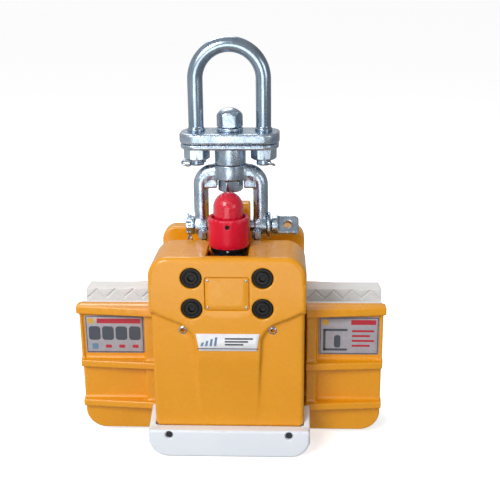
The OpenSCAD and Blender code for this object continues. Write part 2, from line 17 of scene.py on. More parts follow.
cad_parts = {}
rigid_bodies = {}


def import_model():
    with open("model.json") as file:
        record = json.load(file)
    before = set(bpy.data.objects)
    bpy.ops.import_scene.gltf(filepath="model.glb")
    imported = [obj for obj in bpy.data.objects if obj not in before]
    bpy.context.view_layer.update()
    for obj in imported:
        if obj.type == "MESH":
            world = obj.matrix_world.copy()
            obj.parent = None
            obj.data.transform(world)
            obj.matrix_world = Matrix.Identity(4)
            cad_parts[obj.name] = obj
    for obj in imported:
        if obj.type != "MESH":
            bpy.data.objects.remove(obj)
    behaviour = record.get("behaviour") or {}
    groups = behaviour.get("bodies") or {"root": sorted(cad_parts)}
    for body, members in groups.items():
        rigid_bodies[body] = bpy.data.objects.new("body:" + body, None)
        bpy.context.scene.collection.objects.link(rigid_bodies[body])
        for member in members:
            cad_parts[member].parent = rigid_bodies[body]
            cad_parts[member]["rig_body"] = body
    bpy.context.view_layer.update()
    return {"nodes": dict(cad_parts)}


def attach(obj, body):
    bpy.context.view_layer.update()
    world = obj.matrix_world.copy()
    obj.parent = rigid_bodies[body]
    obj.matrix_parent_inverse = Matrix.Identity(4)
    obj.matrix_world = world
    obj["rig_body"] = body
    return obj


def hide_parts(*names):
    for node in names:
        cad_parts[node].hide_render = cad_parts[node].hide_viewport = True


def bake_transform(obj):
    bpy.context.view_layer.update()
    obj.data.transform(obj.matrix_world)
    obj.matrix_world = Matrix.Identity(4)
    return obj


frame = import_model()

LOG = logging.getLogger("slab_clamp")
MM = 0.001
TILE = 14.0  # mm, side of the cubes that a mesh is thinned in
SETTLE_REACH = 0.02  # mm, how far the slope is probed when a vertex is settled on its surface
SETTLE_TURNS = 3  # how many times each vertex is settled
EDGE_REACH = 0.6  # mm, how far the bend is probed for normals and for the edges that get wear and a painted highlight
EDGE_BEND = 0.12  # 1/mm, the bend at which an edge begins to show wear and a painted highlight
EDGE_GAIN = 5.0  # how fast the wear and painted highlight grow past it
Array = np.ndarray
Shape = Callable[[Array, Array, Array], Array]


# ---------------------------------------------------------------- colour and nodes


def linear(hex_code: str) -> tuple[float, float, float, float]:
    """Turns an sRGB hex colour into linear RGBA.

    Args:
        hex_code: six hex digits.

    Returns:
        Linear red, green, blue and alpha 1.
    """
    out = []
    for i in (0, 2, 4):
        c = int(hex_code[i : i + 2], 16) / 255
        out.append(c / 12.92 if c <= 0.04045 else ((c + 0.055) / 1.055) ** 2.4)
    return (out[0], out[1], out[2], 1.0)


def add(
    tree: bpy.types.NodeTree, kind: str, settings: dict | None = None, **inputs: object
) -> bpy.types.Node:
    """Adds one node, sets its properties and fills or links its inputs.

    Args:
        tree: the tree that gets the node.
        kind: the node's type name.
        settings: properties to set on the node.
        **inputs: input name, with _ for a space or in<number> for an index, to a value or an output socket.

    Returns:
        The new node.
    """
    node = tree.nodes.new(kind)
    for key, value in (settings or {}).items():
        setattr(node, key, value)
    for key, value in inputs.items():
        by_index = key[:2] == "in" and key[2:].isdigit()
        sock = node.inputs[int(key[2:]) if by_index else key.replace("_", " ")]
        if isinstance(value, bpy.types.NodeSocket):
            tree.links.new(value, sock)
        else:
            sock.default_value = value
    return node


@dataclass(frozen=True)
class Finish:
    """A surface finish: what the real material is and how it was made.

    Fields give the colours as sRGB hex, the size of its pattern in millimetres and the shader's uniform values.
    """

    name: str
    base: str
    tint: str
    # The third colour is used for scuffs and for convex edges; on the edges it is wear together with a painted
    # highlight.
    wear_sheen_colour: str
    patch_mm: float = 40.0
    grain_mm: float = 1.5
    bump_mm: float = 0.05
    roughness: float = 0.35
    rough_spread: float = 0.08
    metallic: float = 0.0
    coat: float = 0.0
    coat_roughness: float = 0.05
    subsurface: float = 0.0
    wear_amount: float = 0.15
    tint_amount: float = 0.5
    # How far convex edges go toward the third colour: edge wear together with a painted highlight.
    edge_wear_sheen_strength: float = 0.35
    ior: float = 1.5
    stretch: tuple[float, float, float] = (1.0, 1.0, 1.0)

    def material(self) -> bpy.types.Material:
        """Builds the node material, once for each name."""
        found = bpy.data.materials.get(self.name)
        if found:
            return found
        mat = bpy.data.materials.new(self.name)
        mat.use_nodes = True
        tree = mat.node_tree
        tree.nodes.clear()
        out = add(tree, "ShaderNodeOutputMaterial")
        coords = add(tree, "ShaderNodeTexCoord").outputs["Object"]
        placed = add(tree, "ShaderNodeMapping", Vector=coords, Scale=self.stretch).outputs["Vector"]
        patch = add(
            tree, "ShaderNodeTexNoise", Vector=placed, Scale=1 / (self.patch_mm * MM), Detail=4.0,
            Roughness=0.6
        )
        grain = add(
            tree, "ShaderNodeTexNoise", Vector=placed, Scale=1 / (self.grain_mm * MM), Detail=3.0,
            Roughness=0.55
        )
        scuff = add(
            tree, "ShaderNodeTexNoise", Vector=placed, Scale=1 / (self.patch_mm * 0.35 * MM), Detail=7.0,
            Roughness=0.72
        )
        spread = add(
            tree, "ShaderNodeMapRange", Value=patch.outputs["Fac"], in1=0.35, in2=0.65, in3=0.0,
            in4=self.tint_amount
        )
        colour = add(
            tree, "ShaderNodeMix", {"data_type": "RGBA"}, in0=spread.outputs["Result"],
            in6=linear(self.base), in7=linear(self.tint)
        )
        marks = add(
            tree, "ShaderNodeMapRange", Value=scuff.outputs["Fac"], in1=0.60, in2=0.74, in3=0.0,
            in4=self.wear_amount
        )
        layered_colour = add(
            tree, "ShaderNodeMix", {"data_type": "RGBA"}, in0=marks.outputs["Result"], in6=colour.outputs[2],
            in7=linear(self.wear_sheen_colour)
        )
        # Convex edges, from the edge attribute, are mixed toward the third colour. Where that colour is lighter
        # than the base, this is edge wear together with a painted highlight along the edges. On the white
        # urethane it greys the convex edges and groove rims.
        rim = add(tree, "ShaderNodeAttribute", {"attribute_name": "edge"}).outputs["Fac"]
        scuffed_rim_sheen = add(tree, "ShaderNodeMath", {"operation": "MULTIPLY"}, in0=rim, in1=scuff.outputs["Fac"])
        rim_wear_sheen_mask = add(
            tree, "ShaderNodeMapRange", Value=scuffed_rim_sheen.outputs[0], in1=0.42, in2=0.62, in3=0.0,
            in4=self.edge_wear_sheen_strength
        )
        layered_colour = add(
            tree, "ShaderNodeMix", {"data_type": "RGBA"}, in0=rim_wear_sheen_mask.outputs["Result"], in6=layered_colour.outputs[2],
            in7=linear(self.wear_sheen_colour)
        )
        rough = add(
            tree, "ShaderNodeMapRange", Value=scuff.outputs["Fac"], in1=0.3, in2=0.7,
            in3=self.roughness - self.rough_spread, in4=self.roughness + self.rough_spread
        )
        bump = add(
            tree, "ShaderNodeBump", Strength=1.0, Distance=self.bump_mm * MM, Height=grain.outputs["Fac"]
        )
        shader = add(
            tree,
            "ShaderNodeBsdfPrincipled",
            Base_Color=layered_colour.outputs[2],
            Roughness=rough.outputs["Result"],
            Normal=bump.outputs["Normal"],
            Metallic=self.metallic,
            Coat_Weight=self.coat,
            Coat_Roughness=self.coat_roughness,
            IOR=self.ior,
            Subsurface_Weight=self.subsurface,
            Subsurface_Scale=0.004,
        )
        tree.links.new(shader.outputs["BSDF"], out.inputs["Surface"])
        return mat


class Finishes(Enum):
    """The clamp's finishes, each named for its real material."""

    # Two-pack enamel sprayed on castings: a deep gloss with a fine orange peel that breaks up highlights.
    # Its pale third colour on convex edges is edge wear together with a painted highlight along the lip and rib
    # edges.
    YELLOW_ENAMEL = Finish(
        "yellow_orange_enamel", "E99D10", "E3950C", "F2B450", patch_mm=60, grain_mm=2.6, bump_mm=0.16,
        roughness=0.26, coat=0.22, coat_roughness=0.08, wear_amount=0.10, tint_amount=0.55
    )
    # Hot-dip and bright zinc over forged bar: a bluish silver with a soft crystalline mottle.
    FORGED_ZINC = Finish(
        "zinc_plated_forged_steel", "BCCBDA", "93A4B5", "E6ECF0", patch_mm=11, grain_mm=1.5, bump_mm=0.2,
        roughness=0.27, rough_spread=0.10, metallic=1.0, wear_amount=0.45, tint_amount=0.8
    )
    # Bright zinc on the bent round bar of the upper bow: cleaner, with long soft streaks along the drawn bar.
    DRAWN_ZINC = Finish(
        "bright_zinc_drawn_bar", "A9BACB", "8496A8", "DCE4EA", patch_mm=12, grain_mm=1.6, bump_mm=0.05,
        roughness=0.2, rough_spread=0.08, metallic=1.0, wear_amount=0.35, tint_amount=0.9,
        stretch=(1.0, 1.0, 0.25)
    )
    # Bright zinc on turned and rolled parts: smoother and a little darker in the recesses.
    TURNED_ZINC = Finish(
        "bright_zinc_plated_steel", "BAC8D5", "9AA8B6", "E4E9EC", patch_mm=18, grain_mm=2.4, bump_mm=0.05,
        roughness=0.24, rough_spread=0.08, metallic=1.0, wear_amount=0.3, tint_amount=0.7
    )
    # Ground shafts with an oil film: clean bright steel.
    GROUND_STEEL = Finish(
        "ground_oiled_steel", "B4B7BA", "9DA1A5", "D4D6D8", patch_mm=22, grain_mm=0.9, bump_mm=0.02,
        roughness=0.20, metallic=1.0, wear_amount=0.2
    )
    # Oiled machine steel inside the casing: dark and slightly streaked.
    DARK_STEEL = Finish(
        "oiled_machine_steel", "4A4C50", "33353A", "7C7F84", patch_mm=16, grain_mm=1.4, bump_mm=0.06,
        roughness=0.42, metallic=0.9, wear_amount=0.3
    )
    # Black oxide on alloy screws: a warm near-black with a satin sheen.
    BLACK_OXIDE = Finish(
        "black_oxide_steel", "0C0B0D", "080809", "3A3A3E", patch_mm=8, grain_mm=0.8, bump_mm=0.03,
        roughness=0.33, metallic=0.0, ior=1.35, wear_amount=0.25
    )
    # Glossy signal-red enamel on the turned latch parts.
    # Its pale pink third colour on convex edges paints a highlight on rims such as the sleeve's top rim, along
    # with wear.
    RED_ENAMEL = Finish(
        "signal_red_enamel", "DA0A2E", "CA0828", "F58C9C", patch_mm=30, grain_mm=2.2, bump_mm=0.07,
        roughness=0.3, ior=1.36, wear_amount=0.12, tint_amount=0.5
    )
    # The same enamel dipped thick over the cap, so that it dries lumpy and catches many small glints.
    RED_DIPPED = Finish(
        "dipped_red_enamel", "DC0A30", "C80828", "F04866", patch_mm=16, grain_mm=3.2, bump_mm=1.3,
        roughness=0.2, coat=0.8, coat_roughness=0.02, ior=1.36, wear_amount=0.08, tint_amount=0.5
    )
    # Cast white polyurethane: satin and very slightly translucent, with handling smudges.
    WHITE_URETHANE = Finish(
        "cast_white_polyurethane", "EBEAE9", "DFDEDC", "C4C3C1", patch_mm=26, grain_mm=1.8, bump_mm=0.07,
        roughness=0.42, rough_spread=0.06, coat=0.15, coat_roughness=0.2, subsurface=0.10, wear_amount=0.35,
        tint_amount=0.6
    )
    # Moulded white polyurethane of the shoe: a cooler, cleaner white with a satin skin.
    WHITE_SHOE = Finish(
        "moulded_cool_white_polyurethane", "EEF3FB", "E6ECF5", "CDD3DB", patch_mm=40, grain_mm=2.0,
        bump_mm=0.05, roughness=0.40, rough_spread=0.06, coat=0.15, coat_roughness=0.2, subsurface=0.08,
        wear_amount=0.2, tint_amount=0.5
    )
    # Screen-printed aluminium plate under a clear film.
    GREY_PLATE = Finish(
        "printed_grey_plate", "A3A0A8", "97949C", "BDBAC0", patch_mm=20, grain_mm=1.2, bump_mm=0.02,
        roughness=0.38, wear_amount=0.2
    )
    WHITE_PLATE = Finish(
        "printed_white_plate", "F1F1F3", "E6E6EA", "D2D2D8", patch_mm=20, grain_mm=1.2, bump_mm=0.02,
        roughness=0.30, coat=0.3, wear_amount=0.2
    )
    # Printing inks on the plates: flat solid colours with the film's light sheen.
    NAVY_INK = Finish(
        "navy_printing_ink", "1F2A50", "26325C", "3D4A78", patch_mm=6, grain_mm=0.7, bump_mm=0.01,
        roughness=0.4
    )
    RED_INK = Finish(
        "red_printing_ink", "B82034", "A81C2E", "D04A58", patch_mm=6, grain_mm=0.7, bump_mm=0.01,
        roughness=0.4
    )
    SLATE_INK = Finish(
        "slate_printing_ink", "3E444E", "484F5A", "6A717C", patch_mm=6, grain_mm=0.7, bump_mm=0.01,
        roughness=0.4
    )
    STEEL_BLUE_INK = Finish(
        "steel_blue_printing_ink", "6484A4", "5B7B9C", "86A2BC", patch_mm=6, grain_mm=0.7, bump_mm=0.01,
        roughness=0.4
    )
    AMBER_INK = Finish(
        "amber_printing_ink", "D9A628", "CE9A20", "E8C060", patch_mm=6, grain_mm=0.7, bump_mm=0.01,
        roughness=0.4
    )
    # Shop floor paint for the stage.
    STUDIO_FLOOR = Finish(
        "matt_white_studio_floor", "F4F4F4", "F2F2F2", "EEEEEE", patch_mm=400, grain_mm=30, bump_mm=0.0,
        roughness=0.85, wear_amount=0.05
    )


# ---------------------------------------------------------------- solid shapes as distance fields, in mm


def edge(*walls: Array) -> Array:
    """Distance to the meeting of several half-spaces, exact outside their edges."""
    outside = sum(np.maximum(w, 0) ** 2 for w in walls) ** 0.5
    inside = walls[0]
    for w in walls[1:]:
        inside = np.maximum(inside, w)
    return outside + np.minimum(inside, 0)


def blend(a: Array, b: Array, k: float) -> Array:
    """Union of two fields with a fillet of about k mm."""
    h = np.clip(0.5 + 0.5 * (b - a) / k, 0, 1)
    return b + (a - b) * h - k * h * (1 - h)


def carve(a: Array, b: Array, k: float) -> Array:
    """Takes b out of a and rounds the rim by about k mm."""
    return -blend(-a, b, k)


def meet(a: Array, b: Array, k: float) -> Array:
    """Intersection of two fields with its edge rounded by about k mm."""
    return -blend(-a, -b, k)


def slab(v: Array, low: float, high: float) -> Array:
    """Distance to the space between two parallel planes."""
    return np.abs(v - (low + high) / 2) - (high - low) / 2


def brick(low: Sequence[float], high: Sequence[float], r: float) -> Shape:
    """Box with edges rounded by r."""
    return lambda x, y, z: edge(*(slab(v, a, b) + r for v, a, b in zip((x, y, z), low, high))) - r


def drum(axis: str, u: float, v: float, low: float, high: float, radius: float, r: float = 0.5) -> Shape:
    """Cylinder along an axis with its rims rounded by r.

    Args:
        axis: x, y or z.
        u: centre on the first other axis.
        v: centre on the second other axis.
        low: lower end along the axis.
        high: upper end along the axis.
        radius: outer radius.
        r: rim rounding.

    Returns:
        The distance field.
    """

    def shape(x: Array, y: Array, z: Array) -> Array:
        """Distance to the cylinder."""
        along, p, q = {"x": (x, y, z), "y": (y, x, z), "z": (z, x, y)}[axis]
        return edge(np.hypot(p - u, q - v) - radius + r, slab(along, low, high) + r) - r

    return shape


def outline(p: Array, q: Array, points: Sequence[tuple[float, float]]) -> Array:
    """Signed distance to a closed polygon, negative inside."""
    best: Array | float = np.inf
    inside: Array | bool = False
    for (ax, ay), (bx, by) in zip(points, [*points[1:], points[0]]):
        ex, ey = bx - ax, by - ay
        wx, wy = p - ax, q - ay
        t = np.clip((wx * ex + wy * ey) / (ex * ex + ey * ey), 0, 1)
        best = np.minimum(best, (wx - ex * t) ** 2 + (wy - ey * t) ** 2)
        if ey:
            inside = inside ^ (((ay > q) != (by > q)) & (wx < ex * wy / ey))
    return np.where(inside, -1.0, 1.0) * np.sqrt(best)


def rounded_outline(
    p: Array, q: Array, low: Sequence[float], high: Sequence[float], r_low: float, r_high: float
) -> Array:
    """Distance to a rectangle whose lower and upper corners have their own radii."""
    mid = (low[1] + high[1]) / 2
    r = np.where(q < mid, r_low, r_high)
    return edge(slab(p, low[0], high[0]) + r, slab(q, low[1], high[1]) + r) - r


def contour(shape: Shape, low: Sequence[float], high: Sequence[float], step: float) -> tuple[Array, Array]:
    """Meshes a distance field with surface nets and settles each vertex on the true surface.

    Args:
        shape: the distance field, in mm.
        low: lower corner of the space to mesh.
        high: upper corner.
        step: grid spacing.

    Returns:
        Vertices (n, 3) in mm and quads (m, 4).
    """
    pad = 1.5 * step
    axes = [np.arange(a - pad, b + pad + step, step, dtype=np.float64) for a, b in zip(low, high)]
    gx, gy, gz = axes[0][:, None, None], axes[1][None, :, None], axes[2][None, None, :]
    f = np.broadcast_to(shape(gx, gy, gz), tuple(len(a) for a in axes)).astype(np.float32)
    inside = f < 0
    nx, ny, nz = (len(a) - 1 for a in axes)
    total = np.zeros((nx, ny, nz, 3), np.float32)
    count = np.zeros((nx, ny, nz), np.float32)
    for axis in range(3):
        others = [a for a in range(3) if a != axis]
        for i in (0, 1):
            for j in (0, 1):
                start = [0, 0, 0]
                start[others[0]], start[others[1]] = i, j
                end = list(start)
                end[axis] = 1
                sa = tuple(slice(s, s + n) for s, n in zip(start, (nx, ny, nz)))
                sb = tuple(slice(s, s + n) for s, n in zip(end, (nx, ny, nz)))
                cross = inside[sa] != inside[sb]
                fa, fb = f[sa], f[sb]
                t = np.where(cross, fa / np.where(cross, fa - fb, 1), 0)
                count += cross
                total[..., axis] += t
                total[..., others[0]] += cross * i
                total[..., others[1]] += cross * j
    used = count > 0
    index = np.full((nx, ny, nz), -1, np.int64)
    index[used] = np.arange(int(used.sum()))
    cell = np.argwhere(used)
    verts = (cell + total[used] / count[used][:, None]) * step + np.array([a[0] for a in axes])
    quads = []
    for axis in range(3):
        o1, o2 = [(axis + 1) % 3, (axis + 2) % 3]
        sa = [slice(1, -1)] * 3
        sb = [slice(1, -1)] * 3
        sa[axis], sb[axis] = slice(0, -1), slice(1, None)
        a, b = inside[tuple(sa)], inside[tuple(sb)]
        at = np.argwhere(a != b)
        rising = a[a != b]
        at = at + 1
        at[:, axis] -= 1
        corner = []
        for d1, d2 in ((1, 1), (0, 1), (0, 0), (1, 0)):
            c = at.copy()
            c[:, o1] -= d1
            c[:, o2] -= d2
            corner.append(index[c[:, 0], c[:, 1], c[:, 2]])
        ring = np.stack(corner, 1)
        quads.append(np.where(rising[:, None], ring, ring[:, ::-1]))
    for _ in range(SETTLE_TURNS):
        x, y, z = verts.T
        h = SETTLE_REACH
        d = shape(x, y, z)
        g = np.stack([shape(x + h, y, z) - d, shape(x, y + h, z) - d, shape(x, y, z + h) - d], 1) / h
        size = np.maximum((g**2).sum(1), 0.25)
        verts = verts - np.clip(d / size, -0.4 * step, 0.4 * step)[:, None] * g
    return verts, np.concatenate(quads)


# ---------------------------------------------------------------- pieces


def piece(
    name: str,
    verts: Array,
    faces: Sequence[Sequence[int]],
    body: str,
    finish: Finishes,
    stands_for: Sequence[str] = (),
    crease: float = 35.0,
    shape: Shape | None = None,
) -> bpy.types.Object:
    """Makes a mesh object, dresses it and has it ride on a body.

    Args:
        name: object name.
        verts: vertices in mm.
        faces: vertex indices of each face.
        body: the body that it rides on.
        finish: its finish.
        stands_for: CAD nodes that it replaces.
        crease: edges sharper than this many degrees stay sharp.
        shape: the distance field that it was contoured from, which then gives its normals and the convex edges
            that get wear and a painted highlight.

    Returns:
        The object.
    """
    mesh = bpy.data.meshes.new(name)
    verts = np.asarray(verts, np.float64)
    mesh.from_pydata((verts * MM).tolist(), [], [list(map(int, f)) for f in faces])
    obj = finish_object(bpy.data.objects.new(name, mesh), body, finish, stands_for, crease)
    if shape is not None:
        x, y, z = verts.T
        h = EDGE_REACH
        around = [[
            shape(*(v + (s * h if i == k else 0) for k, v in enumerate((x, y, z)))) for s in (1, -1)
        ] for i in range(3)]
        bend = (sum(a + b for a, b in around) - 6 * shape(x, y, z)) / h**2
        slope = np.stack([a - b for a, b in around], 1)
        slope /= np.maximum(np.linalg.norm(slope, axis=1, keepdims=True), 1e-9)
        # Marks convex edges for the material, which mixes them toward its third colour: edge wear together with
        # a painted highlight.
        edge_of = mesh.attributes.new("edge", "FLOAT", "POINT")
        edge_of.data.foreach_set("value", np.clip((bend - EDGE_BEND) * EDGE_GAIN, 0, 1).astype(np.float32))
        mesh.normals_split_custom_set_from_vertices(slope.tolist())
    return obj


def finish_object(
    obj: bpy.types.Object, body: str, finish: Finishes, stands_for: Sequence[str] = (), crease: float = 35.0
) -> bpy.types.Object:
    """Links an object, gives it its finish and has it ride on its body.

    Args:
        obj: the mesh object.
        body: the body that it rides on.
        finish: its finish.
        stands_for: CAD nodes that it replaces.
        crease: edges sharper than this many degrees stay sharp.

    Returns:
        The same object.
    """
    bpy.context.scene.collection.objects.link(obj)
    mesh = obj.data
    mesh.materials.clear()
    mesh.materials.append(finish.value.material())
    mesh.shade_smooth()
    mesh.set_sharp_from_angle(angle=math.radians(crease))
    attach(obj, body)
    if stands_for:
        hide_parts(*stands_for)
    LOG.info("%s on %s: %d faces", obj.name, body, len(mesh.polygons))
    return obj


def thinned(verts: Array, quads: Array, angle: float = 0.6) -> tuple[Array, list[list[int]]]:
    """Merges the flat runs of a contoured mesh into larger faces, tile by tile so that it stays quick.

    Args:
        verts: vertices in mm.
        quads: vertex indices.
        angle: the largest bend, in degrees, across a merged edge.

    Returns:
        Vertices and faces of the lighter mesh.
    """
    mesh = bpy.data.meshes.new("thinning")
    mesh.from_pydata(verts.tolist(), [], quads.tolist())
    tile = (verts[quads].mean(1) // TILE).astype(np.int32) % 2 @ (1, 2, 4)
    mesh.polygons.foreach_set("material_index", tile.astype(np.int32))
    bm = bmesh.new()
    bm.from_mesh(mesh)
    bmesh.ops.triangulate(bm, faces=bm.faces)
    bmesh.ops.dissolve_limit(
        bm, angle_limit=math.radians(angle), verts=bm.verts, edges=bm.edges, delimit={"MATERIAL"}
    )
    bmesh.ops.triangulate(bm, faces=bm.faces)
    bm.to_mesh(mesh)
    bm.free()
    v = np.array([p.co for p in mesh.vertices])
    f = [list(p.vertices) for p in mesh.polygons]
    bpy.data.meshes.remove(mesh)
    return v, f


def solid(
    name: str, shape: Shape, low: Sequence[float], high: Sequence[float], step: float, body: str,
    finish: Finishes, stands_for: Sequence[str] = (), thin: bool = True, crease: float = 50.0
) -> bpy.types.Object:
    """Contours a field and makes the piece.

    Args:
        name: object name.
        shape: the distance field, in mm.
        low: lower corner of its space.
        high: upper corner of its space.
        step: grid spacing.
        body: the body that it rides on.
        finish: its finish.
        stands_for: CAD nodes that it replaces.
        thin: merge flat runs.
        crease: edges sharper than this many degrees stay sharp.

    Returns:
        The object.
    """
    coarse = 1.0
    verts, quads = contour(shape, low, high, step * coarse)
    faces: Sequence[Sequence[int]] = quads
    if thin:
        verts, faces = thinned(verts, quads)
    return piece(name, verts, faces, body, finish, stands_for, crease, shape)


# ---------------------------------------------------------------- turned, bent and repeated pieces


def turned(profile: Sequence[tuple[float, float]], sides: int = 64) -> tuple[Array, list[list[int]]]:
    """Turns a profile of (radius, height) points about Z into a closed shell.

    Args:
        profile: points from the axis at the bottom, round the outside, to the axis at the top, or a closed ring.
        sides: number of segments.

    Returns:
        Vertices in mm and faces.
    """
    ring = profile[0][0] > 0
    verts: list[tuple[float, float, float]] = []
    rows: list[list[int]] = []
    for radius, height in profile:
        if radius <= 0:
            rows.append([len(verts)] * sides)
            verts.append((0.0, 0.0, height))
            continue
        rows.append(list(range(len(verts), len(verts) + sides)))
        verts += [(
            radius * math.cos(t), radius * math.sin(t), height
        ) for t in (2 * math.pi * i / sides for i in range(sides))]
    faces: list[list[int]] = []
    pairs = list(zip(rows, rows[1:])) + ([(rows[-1], rows[0])] if ring else [])
    for low, high in pairs:
        for i in range(sides):
            j = (i + 1) % sides
            quad = [low[i], low[j], high[j], high[i]]
            faces.append([v for k, v in enumerate(quad) if v != quad[k - 1]])
    return np.array(verts), faces


def rounded(points: Sequence[tuple[float, float]], r: float, steps: int = 4) -> list[tuple[float, float]]:
    """Rounds the corners of an open profile, except its two ends."""
    out = [points[0]]
    for a, b, c in zip(points, points[1:], points[2:]):
        u, v = np.subtract(a, b), np.subtract(c, b)
        reach = min(r, 0.45 * np.linalg.norm(u), 0.45 * np.linalg.norm(v))
        p, q = np.array(b) + u / np.linalg.norm(u) * reach, np.array(b) + v / np.linalg.norm(v) * reach
        for i in range(steps + 1):
            t = i / steps
            out.append(tuple((1 - t) ** 2 * p + 2 * t * (1 - t) * np.array(b) + t**2 * q))
    return [*out, points[-1]]


def mesh_of(verts: Array, faces: Sequence[Sequence[int]], name: str = "pattern") -> bpy.types.Mesh:
    """Makes a plain mesh from vertices in mm."""
    mesh = bpy.data.meshes.new(name)
    mesh.from_pydata((np.asarray(verts, float) * MM).tolist(), [], [list(map(int, f)) for f in faces])
    return mesh


class Grower:
    """A Geometry Nodes tree with named inputs, run once on a seed mesh and kept as a plain mesh."""

    def __init__(self, name: str, **sockets: str) -> None:
        """Starts the tree and its inputs.

        Args:
            name: the tree's name.
            **sockets: input name, with _ for a space, to its socket type.
        """
        self.tree = bpy.data.node_groups.new(name, "GeometryNodeTree")
        self.tree.interface.new_socket("Geometry", in_out="INPUT", socket_type="NodeSocketGeometry")
        self.tree.interface.new_socket("Geometry", in_out="OUTPUT", socket_type="NodeSocketGeometry")
        for key, kind in {**sockets, "Material": "Material"}.items():
            self.tree.interface.new_socket(
                key.replace("_", " "), in_out="INPUT", socket_type=f"NodeSocket{kind}"
            )
        self.given = self.tree.nodes.new("NodeGroupInput").outputs

    def add(self, kind: str, settings: dict | None = None, **inputs: object) -> bpy.types.Node:
        """Adds a node to this tree."""
        return add(self.tree, kind, settings, **inputs)

    def close(self, made: bpy.types.NodeSocket) -> "Grower":
        """Ends the tree: real geometry, smooth faces and the material.

        Args:
            made: the geometry to finish.

        Returns:
            The same grower.
        """
        real = self.add("GeometryNodeRealizeInstances", Geometry=made)
        smooth = self.add("GeometryNodeSetShadeSmooth", Geometry=real.outputs[0])
        painted = self.add(
            "GeometryNodeSetMaterial", Geometry=smooth.outputs[0], Material=self.given["Material"]
        )
        self.tree.links.new(painted.outputs[0], self.tree.nodes.new("NodeGroupOutput").inputs[0])
        return self

    def grow(
        self, name: str, seed: bpy.types.Mesh, body: str, finish: Finishes, stands_for: Sequence[str] = (),
        crease: float = 35.0, **values: object
    ) -> bpy.types.Object:
        """Runs the tree on a seed mesh and makes the result a piece.

        Args:
            name: object name.
            seed: the mesh that the tree starts from.
            body: the body that the piece rides on.
            finish: its finish.
            stands_for: CAD nodes that it replaces.
            crease: edges sharper than this many degrees stay sharp.
            **values: the tree's inputs by name.

        Returns:
            The object.
        """
        obj = bpy.data.objects.new(name, seed)
        bpy.context.scene.collection.objects.link(obj)
        mod = obj.modifiers.new("grow", "NODES")
        mod.node_group = self.tree
        ids = {s.name: s.identifier for s in self.tree.interface.items_tree if s.in_out == "INPUT"}
        for key, value in {**values, "Material": finish.value.material()}.items():
            mod[ids[key.replace("_", " ")]] = value
        graph = bpy.context.evaluated_depsgraph_get()
        graph.update()
        mesh = bpy.data.meshes.new_from_object(obj.evaluated_get(graph))
        obj.modifiers.clear()
        obj.data = mesh
        bpy.context.scene.collection.objects.unlink(obj)
        return finish_object(obj, body, finish, stands_for, crease)


def bar_tree() -> Grower:
    """Tree that sweeps a round bar along a path of edges: wire, pins and springs."""
    g = Grower("bar_along_path", Bar_Radius="Float", Sides="Int")
    path = g.add("GeometryNodeMeshToCurve", Mesh=g.given["Geometry"])
    ring = g.add(
        "GeometryNodeCurvePrimitiveCircle", Radius=g.given["Bar Radius"], Resolution=g.given["Sides"]
    )
    swept = g.add(
        "GeometryNodeCurveToMesh", Curve=path.outputs[0], Profile_Curve=ring.outputs["Curve"], Fill_Caps=True
    )
    return g.close(swept.outputs[0])


def repeat_tree() -> Grower:
    """Tree that sets a copy of a pattern piece on every point of the seed, turned and sized by its inputs."""
    g = Grower("copies_on_points", Pattern="Object", Turn="Rotation", Size="Float")
    pattern = g.add("GeometryNodeObjectInfo", Object=g.given["Pattern"])
    placed = g.add(
        "GeometryNodeInstanceOnPoints", Points=g.given["Geometry"], Instance=pattern.outputs["Geometry"],
        Rotation=g.given["Turn"], Scale=g.given["Size"]
    )
    return g.close(placed.outputs[0])


def points_mesh(points: Sequence[Sequence[float]], joined: bool = False) -> bpy.types.Mesh:
    """Makes a mesh of loose points in mm, or one path of edges through them."""
    mesh = bpy.data.meshes.new("points")
    edges = [(i, i + 1) for i in range(len(points) - 1)] if joined else []
    mesh.from_pydata((np.asarray(points, float) * MM).tolist(), edges, [])
    return mesh


def pattern_object(name: str, verts: Array, faces: Sequence[Sequence[int]]) -> bpy.types.Object:
    """Makes an object, outside the scene, whose copies a tree sets out."""
    return bpy.data.objects.new(name, mesh_of(verts, faces, name))


def hex_field(
    across: float, low: float, high: float, chamfer_low: bool = True, chamfer_high: bool = True
) -> Shape:
    """Hexagonal prism about Z with 30 degree chamfers and softly broken corners."""

    def shape(x: Array, y: Array, z: Array) -> Array:
        """Distance to the hexagon."""
        c = math.cos(math.pi / 6)
        flats = np.maximum(
            np.abs(x * c + y * 0.5), np.maximum(np.abs(y), np.abs(x * c - y * 0.5))
        ) - across / 2
        d = meet(flats, slab(z, low, high), 0.5)
        r = np.hypot(x, y)
        tilt = math.radians(30)
        for on, level in ((chamfer_high, z - high), (chamfer_low, low - z)):
            if on:
                d = meet(d, (r - across * 0.475) * math.sin(tilt) + level * math.cos(tilt), 0.5)
        return d

    return shape


def carved(base: Shape, *cuts: Shape, k: float = 0.6) -> Shape:
    """Shape less some others, with rims rounded by about k."""

    def shape(x: Array, y: Array, z: Array) -> Array:
        """Distance to what is left."""
        d = base(x, y, z)
        for cut in cuts:
            d = carve(d, cut(x, y, z), k)
        return d

    return shape


def joined(*parts: Shape, k: float = 1.0) -> Shape:
    """Shapes run together with fillets of about k."""

    def shape(x: Array, y: Array, z: Array) -> Array:
        """Distance to the union."""
        d = parts[0](x, y, z)
        for part in parts[1:]:
            d = blend(d, part(x, y, z), k)
        return d

    return shape


def mirrored(base: Shape) -> Shape:
    """Shape and its mirror image across X = 0."""
    return lambda x, y, z: base(np.abs(x), y, z)


